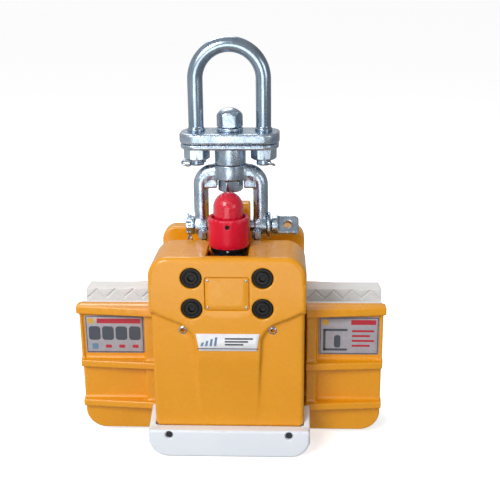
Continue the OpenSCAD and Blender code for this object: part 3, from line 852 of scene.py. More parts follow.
def split_pin_path(leg: float, eye: float, wire: float) -> Array:
    """Path of a split pin along +X: round its eye, then out to its spread tips.

    Args:
        leg: length of the closed legs.
        eye: radius of the eye, to the middle of the wire.
        wire: radius of the wire.

    Returns:
        Points in mm.
    """
    ring = [[
        -0.6 - eye + eye * math.cos(t), 0.94 * eye * math.sin(t), 0.0
    ] for t in np.linspace(math.radians(30), math.radians(330), 22)]
    half = 0.85 * wire
    return np.array([
        [leg + 2.4, 2.2, 0.0], [leg, half, 0.0], [0.4, half, 0.0], *ring, [0.4, -half, 0.0],
        [leg, -half, 0.0], [leg + 3.4, -2.4, 0.0]
    ])


# ---------------------------------------------------------------- sub-assemblies


@dataclass
class FrontCasing:
    """Yellow shell with its raised block, swept shoulder, spine, badge, panel and screws."""

    half: float = 80.0
    low_half: float = 78.5
    deck: float = 218.0
    front: float = -88.0
    face: float = -83.5
    rear: float = -22.0
    corner: float = 21.0
    front_round: float = 5.0
    bolts: tuple[tuple[float, float], ...] = ((-36, 164), (36, 164), (-36, 196.5), (36, 196.5))
    guide_screws: tuple[tuple[float, float], ...] = ((-46, 139.5), (46, 139.5))
    rivets: tuple[tuple[float, float], ...] = ((-19.5, 165.8), (19.5, 165.8), (-19.5, 194.2), (19.5, 194.2))
    sweep: tuple[tuple[float, float], ...] = (
        (80, 163), (77.7, 160.5), (70, 156), (62.4, 152.5), (54, 149.2), (47.3, 146.2), (42, 142), (38, 137),
        (35, 131), (34, 124)
    )

    def shoulder(self) -> list[tuple[float, float]]:
        """Outline of the raised block down to its swept lower edge."""
        return [
            (-self.half, 190), *[(-x, z) for x, z in self.sweep], *[(x, z) for x, z in reversed(self.sweep)],
            (self.half, 190)
        ]

    def field(self) -> Shape:
        """The casting's distance field."""
        outline_points = self.shoulder()

        def shape(x: Array, y: Array, z: Array) -> Array:
            """Distance to the casting."""
            r = self.front_round
            top = edge(
                rounded_outline(x, z, (-self.half, 158), (self.half, self.deck), 0.1, self.corner) + r,
                self.front - y + r
            ) - r
            top = meet(top, y - self.rear, 1.5)
            block = np.maximum(edge(outline(x, z, outline_points) + 3.5, self.front - y + 3.5) - 3.5, y + 79)
            fall = ((y - self.front) * -50 - (z - 108) * 4.5) / 50.2
            spine = np.maximum(edge(outline(
                x, z, [(-34.5, 136), (-31, 55), (-29.5, 31), (29.5, 31), (31, 55), (34.5, 136)]
            ) + 2.2, np.maximum(self.front - y, fall) + 2.2) - 2.2, y + 79)
            low = edge(
                rounded_outline(x, z, (-self.low_half, 29), (self.low_half, 200), 6, 1) + 4, self.face - y + 4
            ) - 4
            low = meet(low, y + 60, 0.8)
            d = blend(np.minimum(np.minimum(top, block), spine), low, 3.4)
            hollow = np.minimum(
                brick((-73.5, -78.5, 34), (73.5, -27, 213), 6)(x, y, z),
                brick((-73.5, -78.5, 34), (73.5, 20, 158), 3)(x, y, z)
            )
            d = carve(d, hollow, 0.8)
            bosses = edge(
                np.minimum(np.hypot(np.abs(x) - 16, z - 46), np.hypot(np.abs(x) - 16, z - 120)) - 11,
                slab(y, -79.5, -45)
            )
            bores = np.maximum(
                np.minimum(np.hypot(np.abs(x) - 16, z - 46), np.hypot(np.abs(x) - 16, z - 120)) - 7.1,
                -78.1 - y
            )
            d = carve(np.minimum(d, bosses), bores, 0.6)
            notch = [(-21, -78), (21, -78), (21, -30), (25, -21), (25, 0), (-25, 0), (-25, -21), (-21, -30)]
            d = carve(d, np.maximum(outline(x, y, notch), 207 - z), 2.4)
            d = carve(d, np.maximum(np.maximum(np.abs(x) - 21, 172 - z), -30 - y), 1.2)
            for bx, bz in self.bolts:
                d = carve(d, edge(np.hypot(x - bx, z - bz) - 11, y + 82), 1.3)
            d = carve(d, edge(rounded_outline(x, z, (-22.6, 162.4), (22.6, 197.6), 2.6, 2.6), y + 86.4), 0.7)
            for bx, bz in self.guide_screws:
                d = carve(d, np.maximum(np.hypot(x - bx, z - bz) - 2.4, y + 79), 0.3)
            return d

        return shape

    def build(self, repeat: Grower) -> None:
        """Makes the casting and its hardware."""
        yellow = Finishes.YELLOW_ENAMEL
        solid(
            "front_casing_cast", self.field(), (-80.6, -88.4, 28.6), (80.6, -21.6, 218.4), 1.15, "frame",
            yellow, ["front_casing"]
        )
        washer, head = drum("z", 0, 0, -5.2, -0.5, 10.4, 0.7), drum("z", 0, 0, -5.2, 0, 6.7, 0.7)
        step = lambda x, y, z: np.maximum(np.abs(np.hypot(x, y) - 7.3) - 0.6, -1.6 - z)
        ring = carved(
            lambda x, y, z: np.minimum(washer(x, y, z), head(x, y, z)), step,
            hex_field(6.8, -3.6, 3, False, False), k=0.3
        )
        verts, faces = contour(ring, (-10.6, -10.6, -5.4), (10.6, 10.6, 0.2), 0.42)
        cap_head = pattern_object("cap_screw_head", *thinned(verts, faces, 3.0))
        forward = (math.pi / 2, 0.0, 0.0)
        repeat.grow(
            "casing_cap_screws", points_mesh([(x, self.front + 0.8, z) for x, z in self.bolts]), "frame",
            Finishes.BLACK_OXIDE, ["casing_bolts"], 30, Pattern=cap_head, Turn=forward, Size=1.0
        )
        button = carved(
            lambda x, y, z: meet(
                np.sqrt(x * x + y * y + (z + 4.2) ** 2) - 6.4, np.maximum(-z - 0.001, np.hypot(x, y) - 4.5),
                0.4
            ),
            hex_field(5.4, -1, 5, False, False),
            k=0.25,
        )
        verts, faces = contour(button, (-4.8, -4.8, -0.2), (4.8, 4.8, 2.4), 0.25)
        button_head = pattern_object("button_head", *thinned(verts, faces, 3.0))
        repeat.grow(
            "shoulder_screws", points_mesh([(x, self.face, z) for x, z in self.guide_screws]), "frame",
            Finishes.TURNED_ZINC, ["guide_screws"], 30, Pattern=button_head, Turn=forward, Size=1.0
        )
        dome = pattern_object("rivet_head", *turned(
            [(0, -0.5), (1.4, -0.5), (1.4, 0.05), (1.25, 0.3), (0.9, 0.48), (0.4, 0.56), (0, 0.58)], 20
        ))
        repeat.grow(
            "panel_rivet_heads", points_mesh([(x, self.front + 0.6, z) for x, z in self.rivets]), "frame",
            Finishes.TURNED_ZINC, ["panel_rivets"], 50, Pattern=dome, Turn=forward, Size=1.0
        )

        def panel(x: Array, y: Array, z: Array) -> Array:
            """Distance to the blank name panel, which stands in a shallow pocket with a thin gap round it."""
            return edge(
                rounded_outline(x, z, (-22, 163), (22, 197), 2.2, 2.2) + 0.3, slab(y, -87.4, -86.5) + 0.3
            ) - 0.3

        solid(
            "blank_name_panel", panel, (-22.2, -87.6, 162.8), (22.2, -86.3, 197.2), 0.3, "frame", yellow,
            ["name_panel"]
        )


@dataclass
class BadgePlate:
    """White trapezoid plate on the spine with an abstract striped emblem."""

    top_half: float = 33.5
    low_half: float = 30.0
    top: float = 138.0
    low: float = 118.0
    front: float = -88.8

    def build(self) -> None:
        """Makes the plate and its printing."""
        shape_points = [
            (-self.top_half, self.top), (self.top_half, self.top), (self.low_half, self.low),
            (-self.low_half, self.low)
        ]

        def plate(x: Array, y: Array, z: Array) -> Array:
            """Distance to the plate."""
            return edge(
                outline(x, z, shape_points) + 0.8, slab(y, self.front + 0.12, -88) + 0.25
            ) - 0.25 + 0.0 * x

        solid(
            "badge_plate_blank", plate, (-33.8, -88.8, 117.8), (33.8, -87.9, 138.2), 0.3, "frame",
            Finishes.WHITE_PLATE, ["badge_plate"]
        )
        ink = Print(self.front + 0.04, self.front + 0.2, "frame", "badge")
        ink.shapes(
            "rule", Finishes.NAVY_INK, [[(-31.0, 120.6), (31.0, 120.6), (31.15, 121.5), (-31.15, 121.5)]]
        )
        ink.shapes("bars", Finishes.STEEL_BLUE_INK, [[
            (-28 + i * 4.6, 124), (-25.6 + i * 4.6, 124), (-24.2 + i * 4.6, 128 + i * 1.9),
            (-26.6 + i * 4.6, 128 + i * 1.9)
        ] for i in range(4)])
        ink.shapes("dashes", Finishes.SLATE_INK, [[
            (-3, 131.2 - i * 3.2), (26 - i * 5, 131.2 - i * 3.2), (26 - i * 5, 133 - i * 3.2),
            (-3, 133 - i * 3.2)
        ] for i in range(3)])


@dataclass
class Print:
    """Flat printed shapes on a plate that faces forward."""

    front: float
    back: float
    body: str
    plate: str

    def shapes(self, name: str, ink: Finishes, polygons: Sequence[Sequence[tuple[float, float]]]) -> None:
        """Prints polygons drawn in X and Z, in mm.

        Args:
            name: what the shapes are.
            ink: the ink.
            polygons: convex outlines.
        """
        verts: list[tuple[float, float, float]] = []
        faces: list[list[int]] = []
        for points in polygons:
            area = sum(a[0] * b[1] - b[0] * a[1] for a, b in zip(points, [*points[1:], points[0]]))
            ring = list(points) if area > 0 else list(reversed(points))
            n, base = len(ring), len(verts)
            verts += [(x, self.front, z) for x, z in ring] + [(x, self.back, z) for x, z in ring]
            faces.append([base + i for i in range(n)])
            faces.append([base + n + i for i in reversed(range(n))])
            faces += [[base + i, base + n + i, base + n + (i + 1) % n, base + (i + 1) % n] for i in range(n)]
        piece(f"{self.plate}_{name}", np.array(verts), faces, self.body, ink, (), 20)
        {"badge": "white_badge"}.get(self.plate, "grey_label")


@dataclass
class RearCasing:
    """Rear casting with its pockets, the bridge, the wings behind the thick pad and two studs."""

    half: float = 80.0
    deck: float = 218.0
    front: float = 30.0
    back: float = 50.0

    def cast(self, x: Array, y: Array, z: Array) -> Array:
        """Distance to the ribbed rear casing."""
        d = edge(
            rounded_outline(x, z, (-self.half, 0), (self.half, self.deck), 6, 15) + 2.5,
            slab(y, self.front, self.back) + 2.5
        ) - 2.5
        cell_x = np.abs(np.abs(np.abs(x) - 38) - 19)
        cell_z = np.abs(np.clip(np.round((z - 25.5) / 41), 0, 4) * 41 + 25.5 - z)
        pocket = edge(cell_x - 17 + 4, cell_z - 18.5 + 4) - 4
        draft = (y - self.front) * 0.06 - 0.9
        return carve(d, edge(pocket - draft, self.front + 6 - y), 2.4)

    def wing(self, x: Array, y: Array, z: Array) -> Array:
        """Distance to one rear wing and its ribs, for X above 0."""
        web = edge(rounded_outline(x, z, (70, 7), (154, 148), 22, 1.5) + 1.5, slab(y, 30, 38) + 1.5) - 1.5
        slope = ((x - 80) * 8 + (y - 49) * 75) / 75.43
        d = np.maximum(web, 79 - x)
        for low in (36, 83, 140):
            rib = edge(slab(z, low, low + 8) + 1.6, slope + 1.6, x - 153 + 1.6) - 1.6
            d = blend(d, np.maximum(np.maximum(rib, 79 - x), 36 - y), 3.0)
        return d

    def span(self, x: Array, y: Array, z: Array) -> Array:
        """Distance to the bridge between the casings."""
        body = edge(np.abs(x) - 68, np.abs(z - 183) - 15, np.abs(y - 4) - 26) - 2
        body = np.maximum(body, slab(y, -22, 30))
        return carve(body, edge(np.abs(x) - 22, 172 - z, y - 18), 2.5)

    def build(self, repeat: Grower) -> None:
        """Makes the rear castings and the studs."""
        yellow = Finishes.YELLOW_ENAMEL
        solid(
            "rear_casing_cast", self.cast, (-80.4, 29.6, -0.4), (80.4, 50.4, 218.4), 1.3, "frame", yellow,
            ["rear_casing"]
        )
        solid(
            "rear_wings_cast", mirrored(self.wing), (-154.4, 29.6, 6.6), (154.4, 49.6, 148.6), 1.3, "frame",
            yellow, ["rear_wings", "rear_wing_ribs"]
        )
        solid(
            "bridge_cast", self.span, (-70.4, -22.2, 165.6), (70.4, 30.2, 200.4), 1.5, "frame", yellow,
            ["bridge"]
        )
        nut = joined(hex_field(9.8, 0, 9), drum("z", 0, 0, -38, 10.4, 3.5, 0.6), k=0.3)
        verts, faces = contour(nut, (-5.8, -5.8, -38.2), (5.8, 5.8, 10.8), 0.4)
        stud = pattern_object("stud_and_nut", *thinned(verts, faces, 3.0))
        repeat.grow(
            "deck_studs", points_mesh([(-28.5, -17, 218), (28.5, -17, 218)]), "frame", Finishes.FORGED_ZINC,
            ["bridge_studs"], 30, Pattern=stud, Turn=(0.0, 0.0, math.radians(12)), Size=1.0
        )


@dataclass
class Bumper:
    """White moulded shoe under the casing, with its two counterbored screws."""

    half: float = 85.0
    height: float = 31.0
    front: float = -96.0
    back: float = -56.0
    screw_x: float = 63.0
    screw_z: float = 25.5

    def field(self, x: Array, y: Array, z: Array) -> Array:
        """Distance to the shoe."""
        d = edge(
            rounded_outline(x, z, (-self.half, 0), (self.half, self.height), 21, 3) + 2.6,
            self.front - y + 2.6
        ) - 2.6
        rise = (z - self.height - (y + 86) * 11 / 30) * 0.939
        ear = edge(slab(np.abs(x), 76, self.half) + 1.4, rise + 1.4, y - self.back + 1.4) - 1.4
        ear = np.maximum(ear, np.maximum(25 - z, -86 - y))
        d = np.minimum(meet(d, y - self.back, 1.5), ear)
        d = carve(d, edge(np.abs(x) - 78.6, -83.6 - y, 29 - z), 0.8)
        d = carve(d, edge(np.hypot(np.abs(x) - self.screw_x, z - self.screw_z) - 4.2, y + 93), 0.8)
        return carve(d, edge(np.hypot(y + 81, z - self.screw_z) - 2.5, 79.5 - np.abs(x)), 0.6)

    def build(self, repeat: Grower) -> None:
        """Makes the shoe and its screws."""
        solid(
            "bumper_shoe", self.field, (-85.4, -96.3, -0.3), (85.4, -55.7, 42.4), 1.1, "frame",
            Finishes.WHITE_SHOE, ["bumper"]
        )
        head = carved(drum("z", 0, 0, -2.6, 0, 3.3, 0.4), hex_field(3.4, -1.6, 1, False, False), k=0.2)
        verts, faces = contour(head, (-4, -4, -2.8), (4, 4, 0.2), 0.25)
        screw = pattern_object("shoe_screw_head", *thinned(verts, faces, 3.0))
        repeat.grow(
            "shoe_screws",
            points_mesh([(s * self.screw_x, self.front + 1.3, self.screw_z) for s in (-1, 1)]), "frame",
            Finishes.DARK_STEEL, ["bumper_screws"], 30, Pattern=screw, Turn=(math.pi / 2, 0.0, 0.0), Size=1.0
        )


@dataclass
class Pads:
    """The two white pads that face the slot, each with rows of zigzag groove."""

    half: float = 165.5
    top: float = 153.0
    low: float = 9.0
    drop: float = 2.0
    face: float = 5.0
    front_half: float = 162.5
    groove: float = 1.2
    pitch: float = 20.4
    row: float = 20.0
    rise: float = 10.0

    def zigzag(self, x: Array, z: Array) -> Array:
        """Distance in the plane of the face to the nearest zigzag groove's sides."""
        swing = 1 - np.abs(2 * ((x / self.pitch) % 1) - 1)
        line = np.clip(np.round((z - 22 - self.rise * swing) / self.row), 0, 6) * self.row + 22
        rise = np.where(line > 140, self.rise - 0.5, self.rise)
        away = np.abs(z - line - rise * swing) * 0.715 - 0.95
        return np.maximum(away, np.abs(x) - np.where(line < 30, 142.8, 164.0))

    def rear(self, x: Array, y: Array, z: Array) -> Array:
        """Distance to the thick rear pad, whose sides draw in slightly towards the back."""
        taper = np.abs(x) - self.half + np.maximum(y - 13, 0) / 17
        d = edge(
            rounded_outline(x, z, (-self.half, self.low), (self.half, self.top), 26, 1.4) + 0.8,
            slab(y, self.face, 30) + 0.8
        ) - 0.8
        return carve(np.maximum(d, taper), np.maximum(self.zigzag(x, z), y - self.face - self.groove), 0.35)

    def front(self, x: Array, y: Array, z: Array) -> Array:
        """Distance to the thin front pad, which sits a little lower."""
        d = edge(rounded_outline(
            x, z + self.drop, (-self.front_half, self.low), (self.front_half, self.top), 26, 2
        ) + 0.8, slab(y, -34, -28) + 0.8) - 0.8
        return carve(d, np.maximum(self.zigzag(x, z + self.drop), -28 - self.groove - y), 0.35)

    def build(self) -> None:
        """Makes both pads."""
        white = Finishes.WHITE_URETHANE
        solid(
            "rear_pad_moulding", self.rear, (-165.8, 4.7, 8.7), (165.8, 30.3, 153.3), 0.85, "frame", white,
            ["rear_pad"]
        )
        solid(
            "front_pad_moulding", self.front, (-162.8, -34.3, 6.7), (162.8, -27.7, 151.3), 0.85, "jaw",
            white, ["front_pad"]
        )


@dataclass
class FrontJaw:
    """Wide ribbed casting that carries the front pad, with its two pictogram plates."""

    back: float = -34.0
    top: float = 153.0
    drop: float = 2.0

    def wing(self, x: Array, y: Array, z: Array) -> Array:
        """Distance to one wing with its lip, ribs and posts, for X above 0."""
        z = z + self.drop
        web = edge(
            rounded_outline(x, z, (60, 7), (162.5, self.top), 22, 1.5) + 1.5, slab(y, -42, self.back) + 1.5
        ) - 1.5
        web = np.maximum(web, 77.5 - x)
        lip_face = (-(y + 56) * 81.5 + (x - 82) * 9) / 82.0
        lip = edge(slab(z, 144, self.top) + 1.3, lip_face + 1.3, x - 165.5 + 1.3, y - self.back + 1) - 1.3
        lip = np.maximum(np.maximum(lip, 81 - x), y - self.back)
        rib_face = (-(y + 55) * 79 + (x - 82) * 6.5) / 79.27
        d = blend(web, lip, 3.0)
        for low in (36, 83):
            rib = edge(slab(z, low, low + 8) + 1.2, rib_face + 1.2, x - 163 + 1.2) - 1.2
            d = blend(d, np.maximum(np.maximum(rib, 81 - x), y + 36), 3.2)
        post = edge(slab(x, 81, 92) + 1.5, -50 - y + 1.5) - 1.5
        d = blend(d, np.maximum(np.maximum(post, slab(z, 40, 148)), y + 36), 3.5)
        rim = edge(slab(x, 159.9, 162.5) + 0.8, -44 - y + 0.8) - 0.8
        return blend(d, np.maximum(np.maximum(rim, slab(z, 87, 148)), y + 36), 2.5)

    def middle(self, x: Array, y: Array, z: Array) -> Array:
        """Distance to the plate and pin lugs behind the casing, for X above 0."""
        d = edge(np.abs(x) - 79, slab(z, 5, 150) + 1, slab(y, -40, self.back) + 1) - 1
        near = np.minimum(np.abs(z - 86), np.abs(z - 135))
        lug = np.minimum(slab(x, 30, 38), slab(x, 51, 55))
        bar = np.where(y < -69.5, np.hypot(near, y + 69.5), near) - 8
        d = blend(d, edge(bar + 1, lug + 1, y + 37) - 1, 1.5)
        d = carve(d, np.maximum(np.hypot(near, y + 69.5) - 5, lug - 5), 0.4)
        guides = np.minimum(np.hypot(x - 16, z - 46), np.hypot(x - 16, z - 120)) - 7
        return carve(d, guides, 0.4)

    def shape(self, x: Array, y: Array, z: Array) -> Array:
        """Distance to the whole casting, for X above 0."""
        return np.minimum(self.wing(x, y, z), self.middle(x, y, z))

    def build(self) -> None:
        """Makes the casting and the plates."""
        solid(
            "front_jaw_cast", mirrored(self.shape), (-165.8, -78.2, 4.6), (165.8, -33.8, 151.4), 1.2, "jaw",
            Finishes.YELLOW_ENAMEL, ["front_jaw", "jaw_ribs", "jaw_posts", "jaw_lugs"]
        )
        for side, centre, half in (("left", -125.5, 32.0), ("right", 127.0, 32.5)):
            self.plate(side, centre, half)

    def plate(self, side: str, cx: float, half: float) -> None:
        """Makes one grey pictogram plate with plain generic marks.

        Args:
            side: left or right.
            cx: its centre along X.
            half: half its width.
        """

        def blank(x: Array, y: Array, z: Array) -> Array:
            """Distance to the plate."""
            return edge(
                rounded_outline(x - cx, z, (-half, 95.5), (half, 138.8), 1.2, 1.2) + 0.25,
                slab(y, -42.66, -42) + 0.25
            ) - 0.25

        solid(
            f"{side}_plate_blank", blank, (cx - half - 0.2, -42.8, 95.3), (cx + half + 0.2, -41.9, 139.0),
            0.3, "jaw", Finishes.GREY_PLATE, [f"{side}_label"]
        )
        ink = Print(-42.76, -42.6, "jaw", f"{side}_plate")

        def pill(x0: float, z0: float, x1: float, z1: float, r: float) -> list[tuple[float, float]]:
            """Outline of a rectangle with round corners, placed on the plate."""
            turns = np.linspace(0, 2 * math.pi, 20, endpoint=False)
            half_w, half_h = (x1 - x0) / 2 - r, (z1 - z0) / 2 - r
            return [(
                cx + (x0 + x1) / 2 + math.copysign(half_w, math.cos(t)) + r * math.cos(t),
                (z0 + z1) / 2 + math.copysign(half_h, math.sin(t)) + r * math.sin(t)
            ) for t in turns + 0.01]

        ink.shapes("border", Finishes.NAVY_INK, [
            pill(-31, 96.5, 31, 97.2, 0.3), pill(-31, 137.1, 31, 137.8, 0.3),
            pill(-31, 96.5, -30.3, 137.8, 0.3), pill(30.3, 96.5, 31, 137.8, 0.3)
        ])
        ink.shapes("key", Finishes.AMBER_INK, [pill(-28.6, 129.6, -22.4, 135.8, 1.2)])
        if side == "left":
            ink.shapes("header", Finishes.RED_INK, [pill(-19, 129.8, 28.4, 135.4, 0.8)])
            ink.shapes(
                "blocks", Finishes.SLATE_INK,
                [pill(-28.4 + i * 14.6, 110.5, -15.6 + i * 14.6, 126.5, 3.6) for i in range(4)]
            )
            ink.shapes("blue_tab", Finishes.STEEL_BLUE_INK, [pill(-25.4, 100, -18.6, 106.6, 1.4)])
            ink.shapes(
                "red_tabs", Finishes.RED_INK,
                [pill(-10.6 + i * 14.6, 101.4, -4.0 + i * 14.6, 105.2, 1.2) for i in range(3)]
            )
        else:
            ink.shapes("header", Finishes.RED_INK, [pill(2, 129.8, 28.4, 135.4, 0.8)])
            ink.shapes("blocks", Finishes.SLATE_INK, [
                pill(-27.6, 100, -1.6, 102.6, 1.2), pill(-27.6, 122.6, -1.6, 125.2, 1.2),
                pill(-27.6, 100, -25, 125.2, 1.2), pill(-16, 103.5, -9, 118, 3.0)
            ])
            ink.shapes(
                "red_bars", Finishes.RED_INK,
                [pill(3, 121.4 - i * 5.6, 27 - 4.5 * (i % 2), 123.8 - i * 5.6, 1.0) for i in range(4)]
            )


@dataclass
class Latch:
    """Red guard sleeve and domed cap on their black collar, and the yellow lifting lug behind them."""

    y: float = -44.0
    sleeve: float = 43.0
    dome: float = 30.5

    def lug(self, x: Array, y: Array, z: Array) -> Array:
        """Distance to the lug, whose top is broken at 45 degrees and softly rounded."""
        d = edge(np.abs(x - 1) - 19.75 + 2.2, np.abs(y) - 11 + 2.2, z - 254.5 + 2.2) - 2.2
        d = meet(d, (np.abs(y) - 7 + z - 254.5) * 0.7071, 2.0)
        d = np.maximum(d, 190 - z)
        return carve(d, np.hypot(y, z - 228) - 7.08, 1.2)

    def guard(self, x: Array, y: Array, z: Array) -> Array:
        """Distance to the guard sleeve with its set-screw hole."""
        v = y - self.y
        r = np.hypot(x, v)
        d = edge(r - self.sleeve / 2 + 1.8 + (250 - z) * 0.02, slab(z, 218.6, 250) + 1.8) - 1.8
        d = carve(d, edge(r - 17.2, 224 - z), 1.6)
        d = carve(d, np.maximum(r - 6.3, z - 226), 0.4)
        return carve(d, np.maximum(np.hypot(x, z - 243) - 2.3, v), 0.7)

    def build(self) -> None:
        """Makes the latch parts and the lug."""
        red = Finishes.RED_ENAMEL
        solid(
            "lifting_lug", self.lug, (-19.0, -11.4, 189.8), (21.0, 11.4, 254.8), 0.95, "lift_bar",
            Finishes.YELLOW_ENAMEL, ["lug"]
        )
        solid(
            "guard_sleeve", self.guard, (-21.8, self.y - 21.8, 218.3), (21.8, self.y + 21.8, 250.3), 0.75,
            "lift_bar", red, ["latch_sleeve"]
        )
        r = self.dome / 2
        cap = [
            (0, 186), (5.2, 186), (6, 186.8), (6, 225), *rounded([(6, 225), (r, 225), (r, 261)], 1.2)[1:-1]
        ]
        cap += [
            (r * math.cos(t), 260 + r * math.sin(t)) for t in np.linspace(0.03, math.pi / 2 - 0.05, 22)
        ] + [(0, 260 + r)]
        verts, faces = turned(cap, 96)
        piece(
            "domed_cap", verts + np.array([0, self.y, 0]), faces, "latch", Finishes.RED_DIPPED,
            ["latch_dome"], 50
        )
        verts, faces = turned(
            rounded([(6.3, 214), (19, 214), (19, 218.6), (6.3, 218.6), (6.3, 214.01)], 0.6), 28
        )
        piece(
            "latch_collar_ring", verts + np.array([0, self.y, 0]), faces, "lift_bar", Finishes.BLACK_OXIDE,
            ["latch_collar"], 9
        )
        stop = solid(
            "collar_pin", drum("y", 0, 216.4, self.y - 19.6, self.y - 17, 1.4, 0.4),
            (-1.6, self.y - 19.8, 214.8), (1.6, self.y - 16.8, 218.0), 0.25, "lift_bar", Finishes.TURNED_ZINC
        )
        grub = carved(
            drum("y", 0, 243, self.y - 20.3, self.y - 18, 2.2, 0.3), lambda x, y,
            z: hex_field(2.2, self.y - 22, self.y - 19.2, False, False)(x, z - 243, y), k=0.15
        )
        solid(
            "sleeve_set_screw", grub, (-2.4, self.y - 20.5, 240.6), (2.4, self.y - 17.8, 245.4), 0.2,
            "lift_bar", Finishes.BLACK_OXIDE, ["latch_set_screw"]
        )


@dataclass
class ReturnSprings:
    """Two coil springs on the guide rods, which in the real clamp stretch as the lifting gear rises; here they
    are built fixed and on no body.
    """

    x: float = 63.0
    y: float = -66.0
    coil: float = 6.2
    wire: float = 0.8
    low: float = 37.0
    high: float = 153.0
    turns: int = 24

    def build(self, bar: Grower) -> None:
        """Makes both springs."""
        for name, side in (("left_spring", -1), ("right_spring", 1)):
            steps = self.turns * 20
            path = []
            for i in range(steps + 1):
                t = i / steps
                path.append((
                    side * self.x + self.coil * math.cos(2 * math.pi * self.turns * t),
                    self.y + self.coil * math.sin(2 * math.pi * self.turns * t),
                    self.low + (self.high - self.low) * t
                ))
            obj = bar.grow(
                name, points_mesh(path, True), "frame", Finishes.DARK_STEEL,
                ["return_springs"] if side < 0 else (), 60, Bar_Radius=self.wire * MM, Sides=8
            )
            obj.parent = None
            del obj["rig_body"]
            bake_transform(obj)


@dataclass
class LowerBow:
    """Forged yoke on its cross pin, with the castle nut and its split pin."""

    half: float = 32.0
    bar: float = 8.0
    bend: float = 15.0
    top: float = 288.0
    pin: float = 228.0

    def yoke(self, x: Array, y: Array, z: Array) -> Array:
        """Distance to the yoke, for X above 0."""
        u, v = x - (self.half - self.bend), z - (self.top - self.bend)
        leg = np.sqrt((x - self.half) ** 2 + y * y + np.maximum(self.pin - z, 0) ** 2)
        over = np.hypot(np.hypot(z - self.top, y), np.maximum(-x, 0))
        turn = np.hypot(np.hypot(u, v) - self.bend, y)
        bar = np.where((u > 0) & (v > 0), turn, np.where(v <= 0, leg, over)) - self.bar
        eye = edge(np.hypot(y, z - self.pin) - 10.5 + 1.2, slab(x, 25.5, 39) + 1.2) - 1.2
        d = blend(bar, eye, 3.5)
        hub = edge(np.hypot(x, y) - 16.5 + 1.4, slab(z, 280, 296) + 1.4) - 1.4
        d = blend(d, hub, 3.0)
        web = edge(np.abs(x) - 26 + 2, np.abs(y) - 7 + 2, 270.5 - z + 2) - 2
        d = blend(d, np.maximum(web, z - 284), 3.5)
        d = carve(d, edge(np.hypot(x, y) - 15.5, z - 280), 1.2)
        d = carve(d, np.hypot(x, y) - 8.1, 0.8)
        d = carve(d, np.hypot(y, z - self.pin) - 7, 0.4)
        return carve(d, edge(39 - x, np.hypot(y, z - self.pin) - 15), 0.8)

    def cross_pin(self, x: Array, y: Array, z: Array) -> Array:
        """Distance to the pin with its flange, shoulder and flat eye."""
        r = np.hypot(y, z - self.pin)
        d = edge(r - 7, slab(x, -39, 39))
        end = edge(r - 6 + 0.8, slab(x, -49.5, -38) + 0.8) - 0.8
        thread = 0.28 * np.abs(((x / 1.75) % 1) - 0.5) * 2
        d = np.minimum(d, end + np.where(x < -42, thread, 0))
        flange = edge(r - 14.5 + 1, slab(x, 39, 42.5) + 1) - 1
        neck = edge(r - 7, slab(x, 42, 45))
        shoulder = edge(r - 10.5 + 1.2, slab(x, 44, 51) + 1.2) - 1.2
        d = np.minimum(np.minimum(d, flange), blend(neck, shoulder, 0.6))
        c, s = math.cos(math.radians(45)), math.sin(math.radians(45))
        v = y * c - (z - self.pin) * s
        w = y * s + (z - self.pin) * c
        tab = edge(edge(slab(x, 46, 73) + 4.5, np.abs(w) - 10.7 + 4.5) - 4.5 + 1.2, np.abs(v) - 3 + 1.2) - 1.2
        tab = carve(tab, np.hypot(x - 61, w) - 4.5, 0.9)
        d = blend(d, tab, 2.5)
        return carve(d, np.hypot(x + 45.4, y) - 1.3, 0.3)

    def castle_nut(self, x: Array, y: Array, z: Array) -> Array:
        """Distance to the slotted nut on the pin's end."""
        u, v = y, z - self.pin
        d = hex_field(18, 39, 48.5, True, True)(u, v, -x)
        d = carve(d, np.hypot(u, v) - 6.0, 0.4)
        for a in (0, 60, 120):
            c, s = math.cos(math.radians(a)), math.sin(math.radians(a))
            d = carve(d, edge(np.abs(u * c + v * s) - 1.6, x + 43.5), 0.4)
        return d

    def build(self, bar: Grower) -> None:
        """Makes the yoke and its pin."""
        zinc = Finishes.FORGED_ZINC
        solid(
            "lower_bow_forging", mirrored(self.yoke), (-40.6, -16.8, 217), (40.6, 16.8, 296.6), 0.85,
            "lower_bow", zinc, ["lower_bow"]
        )
        solid(
            "cross_pin_turned", self.cross_pin, (-51.3, -15, 213), (73.3, 15, 243), 0.75, "lower_bow", zinc,
            ["cross_pin"]
        )
        solid(
            "castle_nut", self.castle_nut, (-50, -11, 217), (-38.6, 11, 239), 0.5, "lower_bow",
            Finishes.TURNED_ZINC, ["cross_pin_nut"]
        )
        path = [(-45.4 + 0.8 * b, -0.6 * b, self.pin - 12 + a) for a, b, _ in split_pin_path(21.5, 2.8, 1.0)]
        bar.grow(
            "castle_nut_split_pin", points_mesh(path, True), "lower_bow", zinc, ["cross_pin_split_pin"], 60,
            Bar_Radius=1.0 * MM, Sides=12
        )


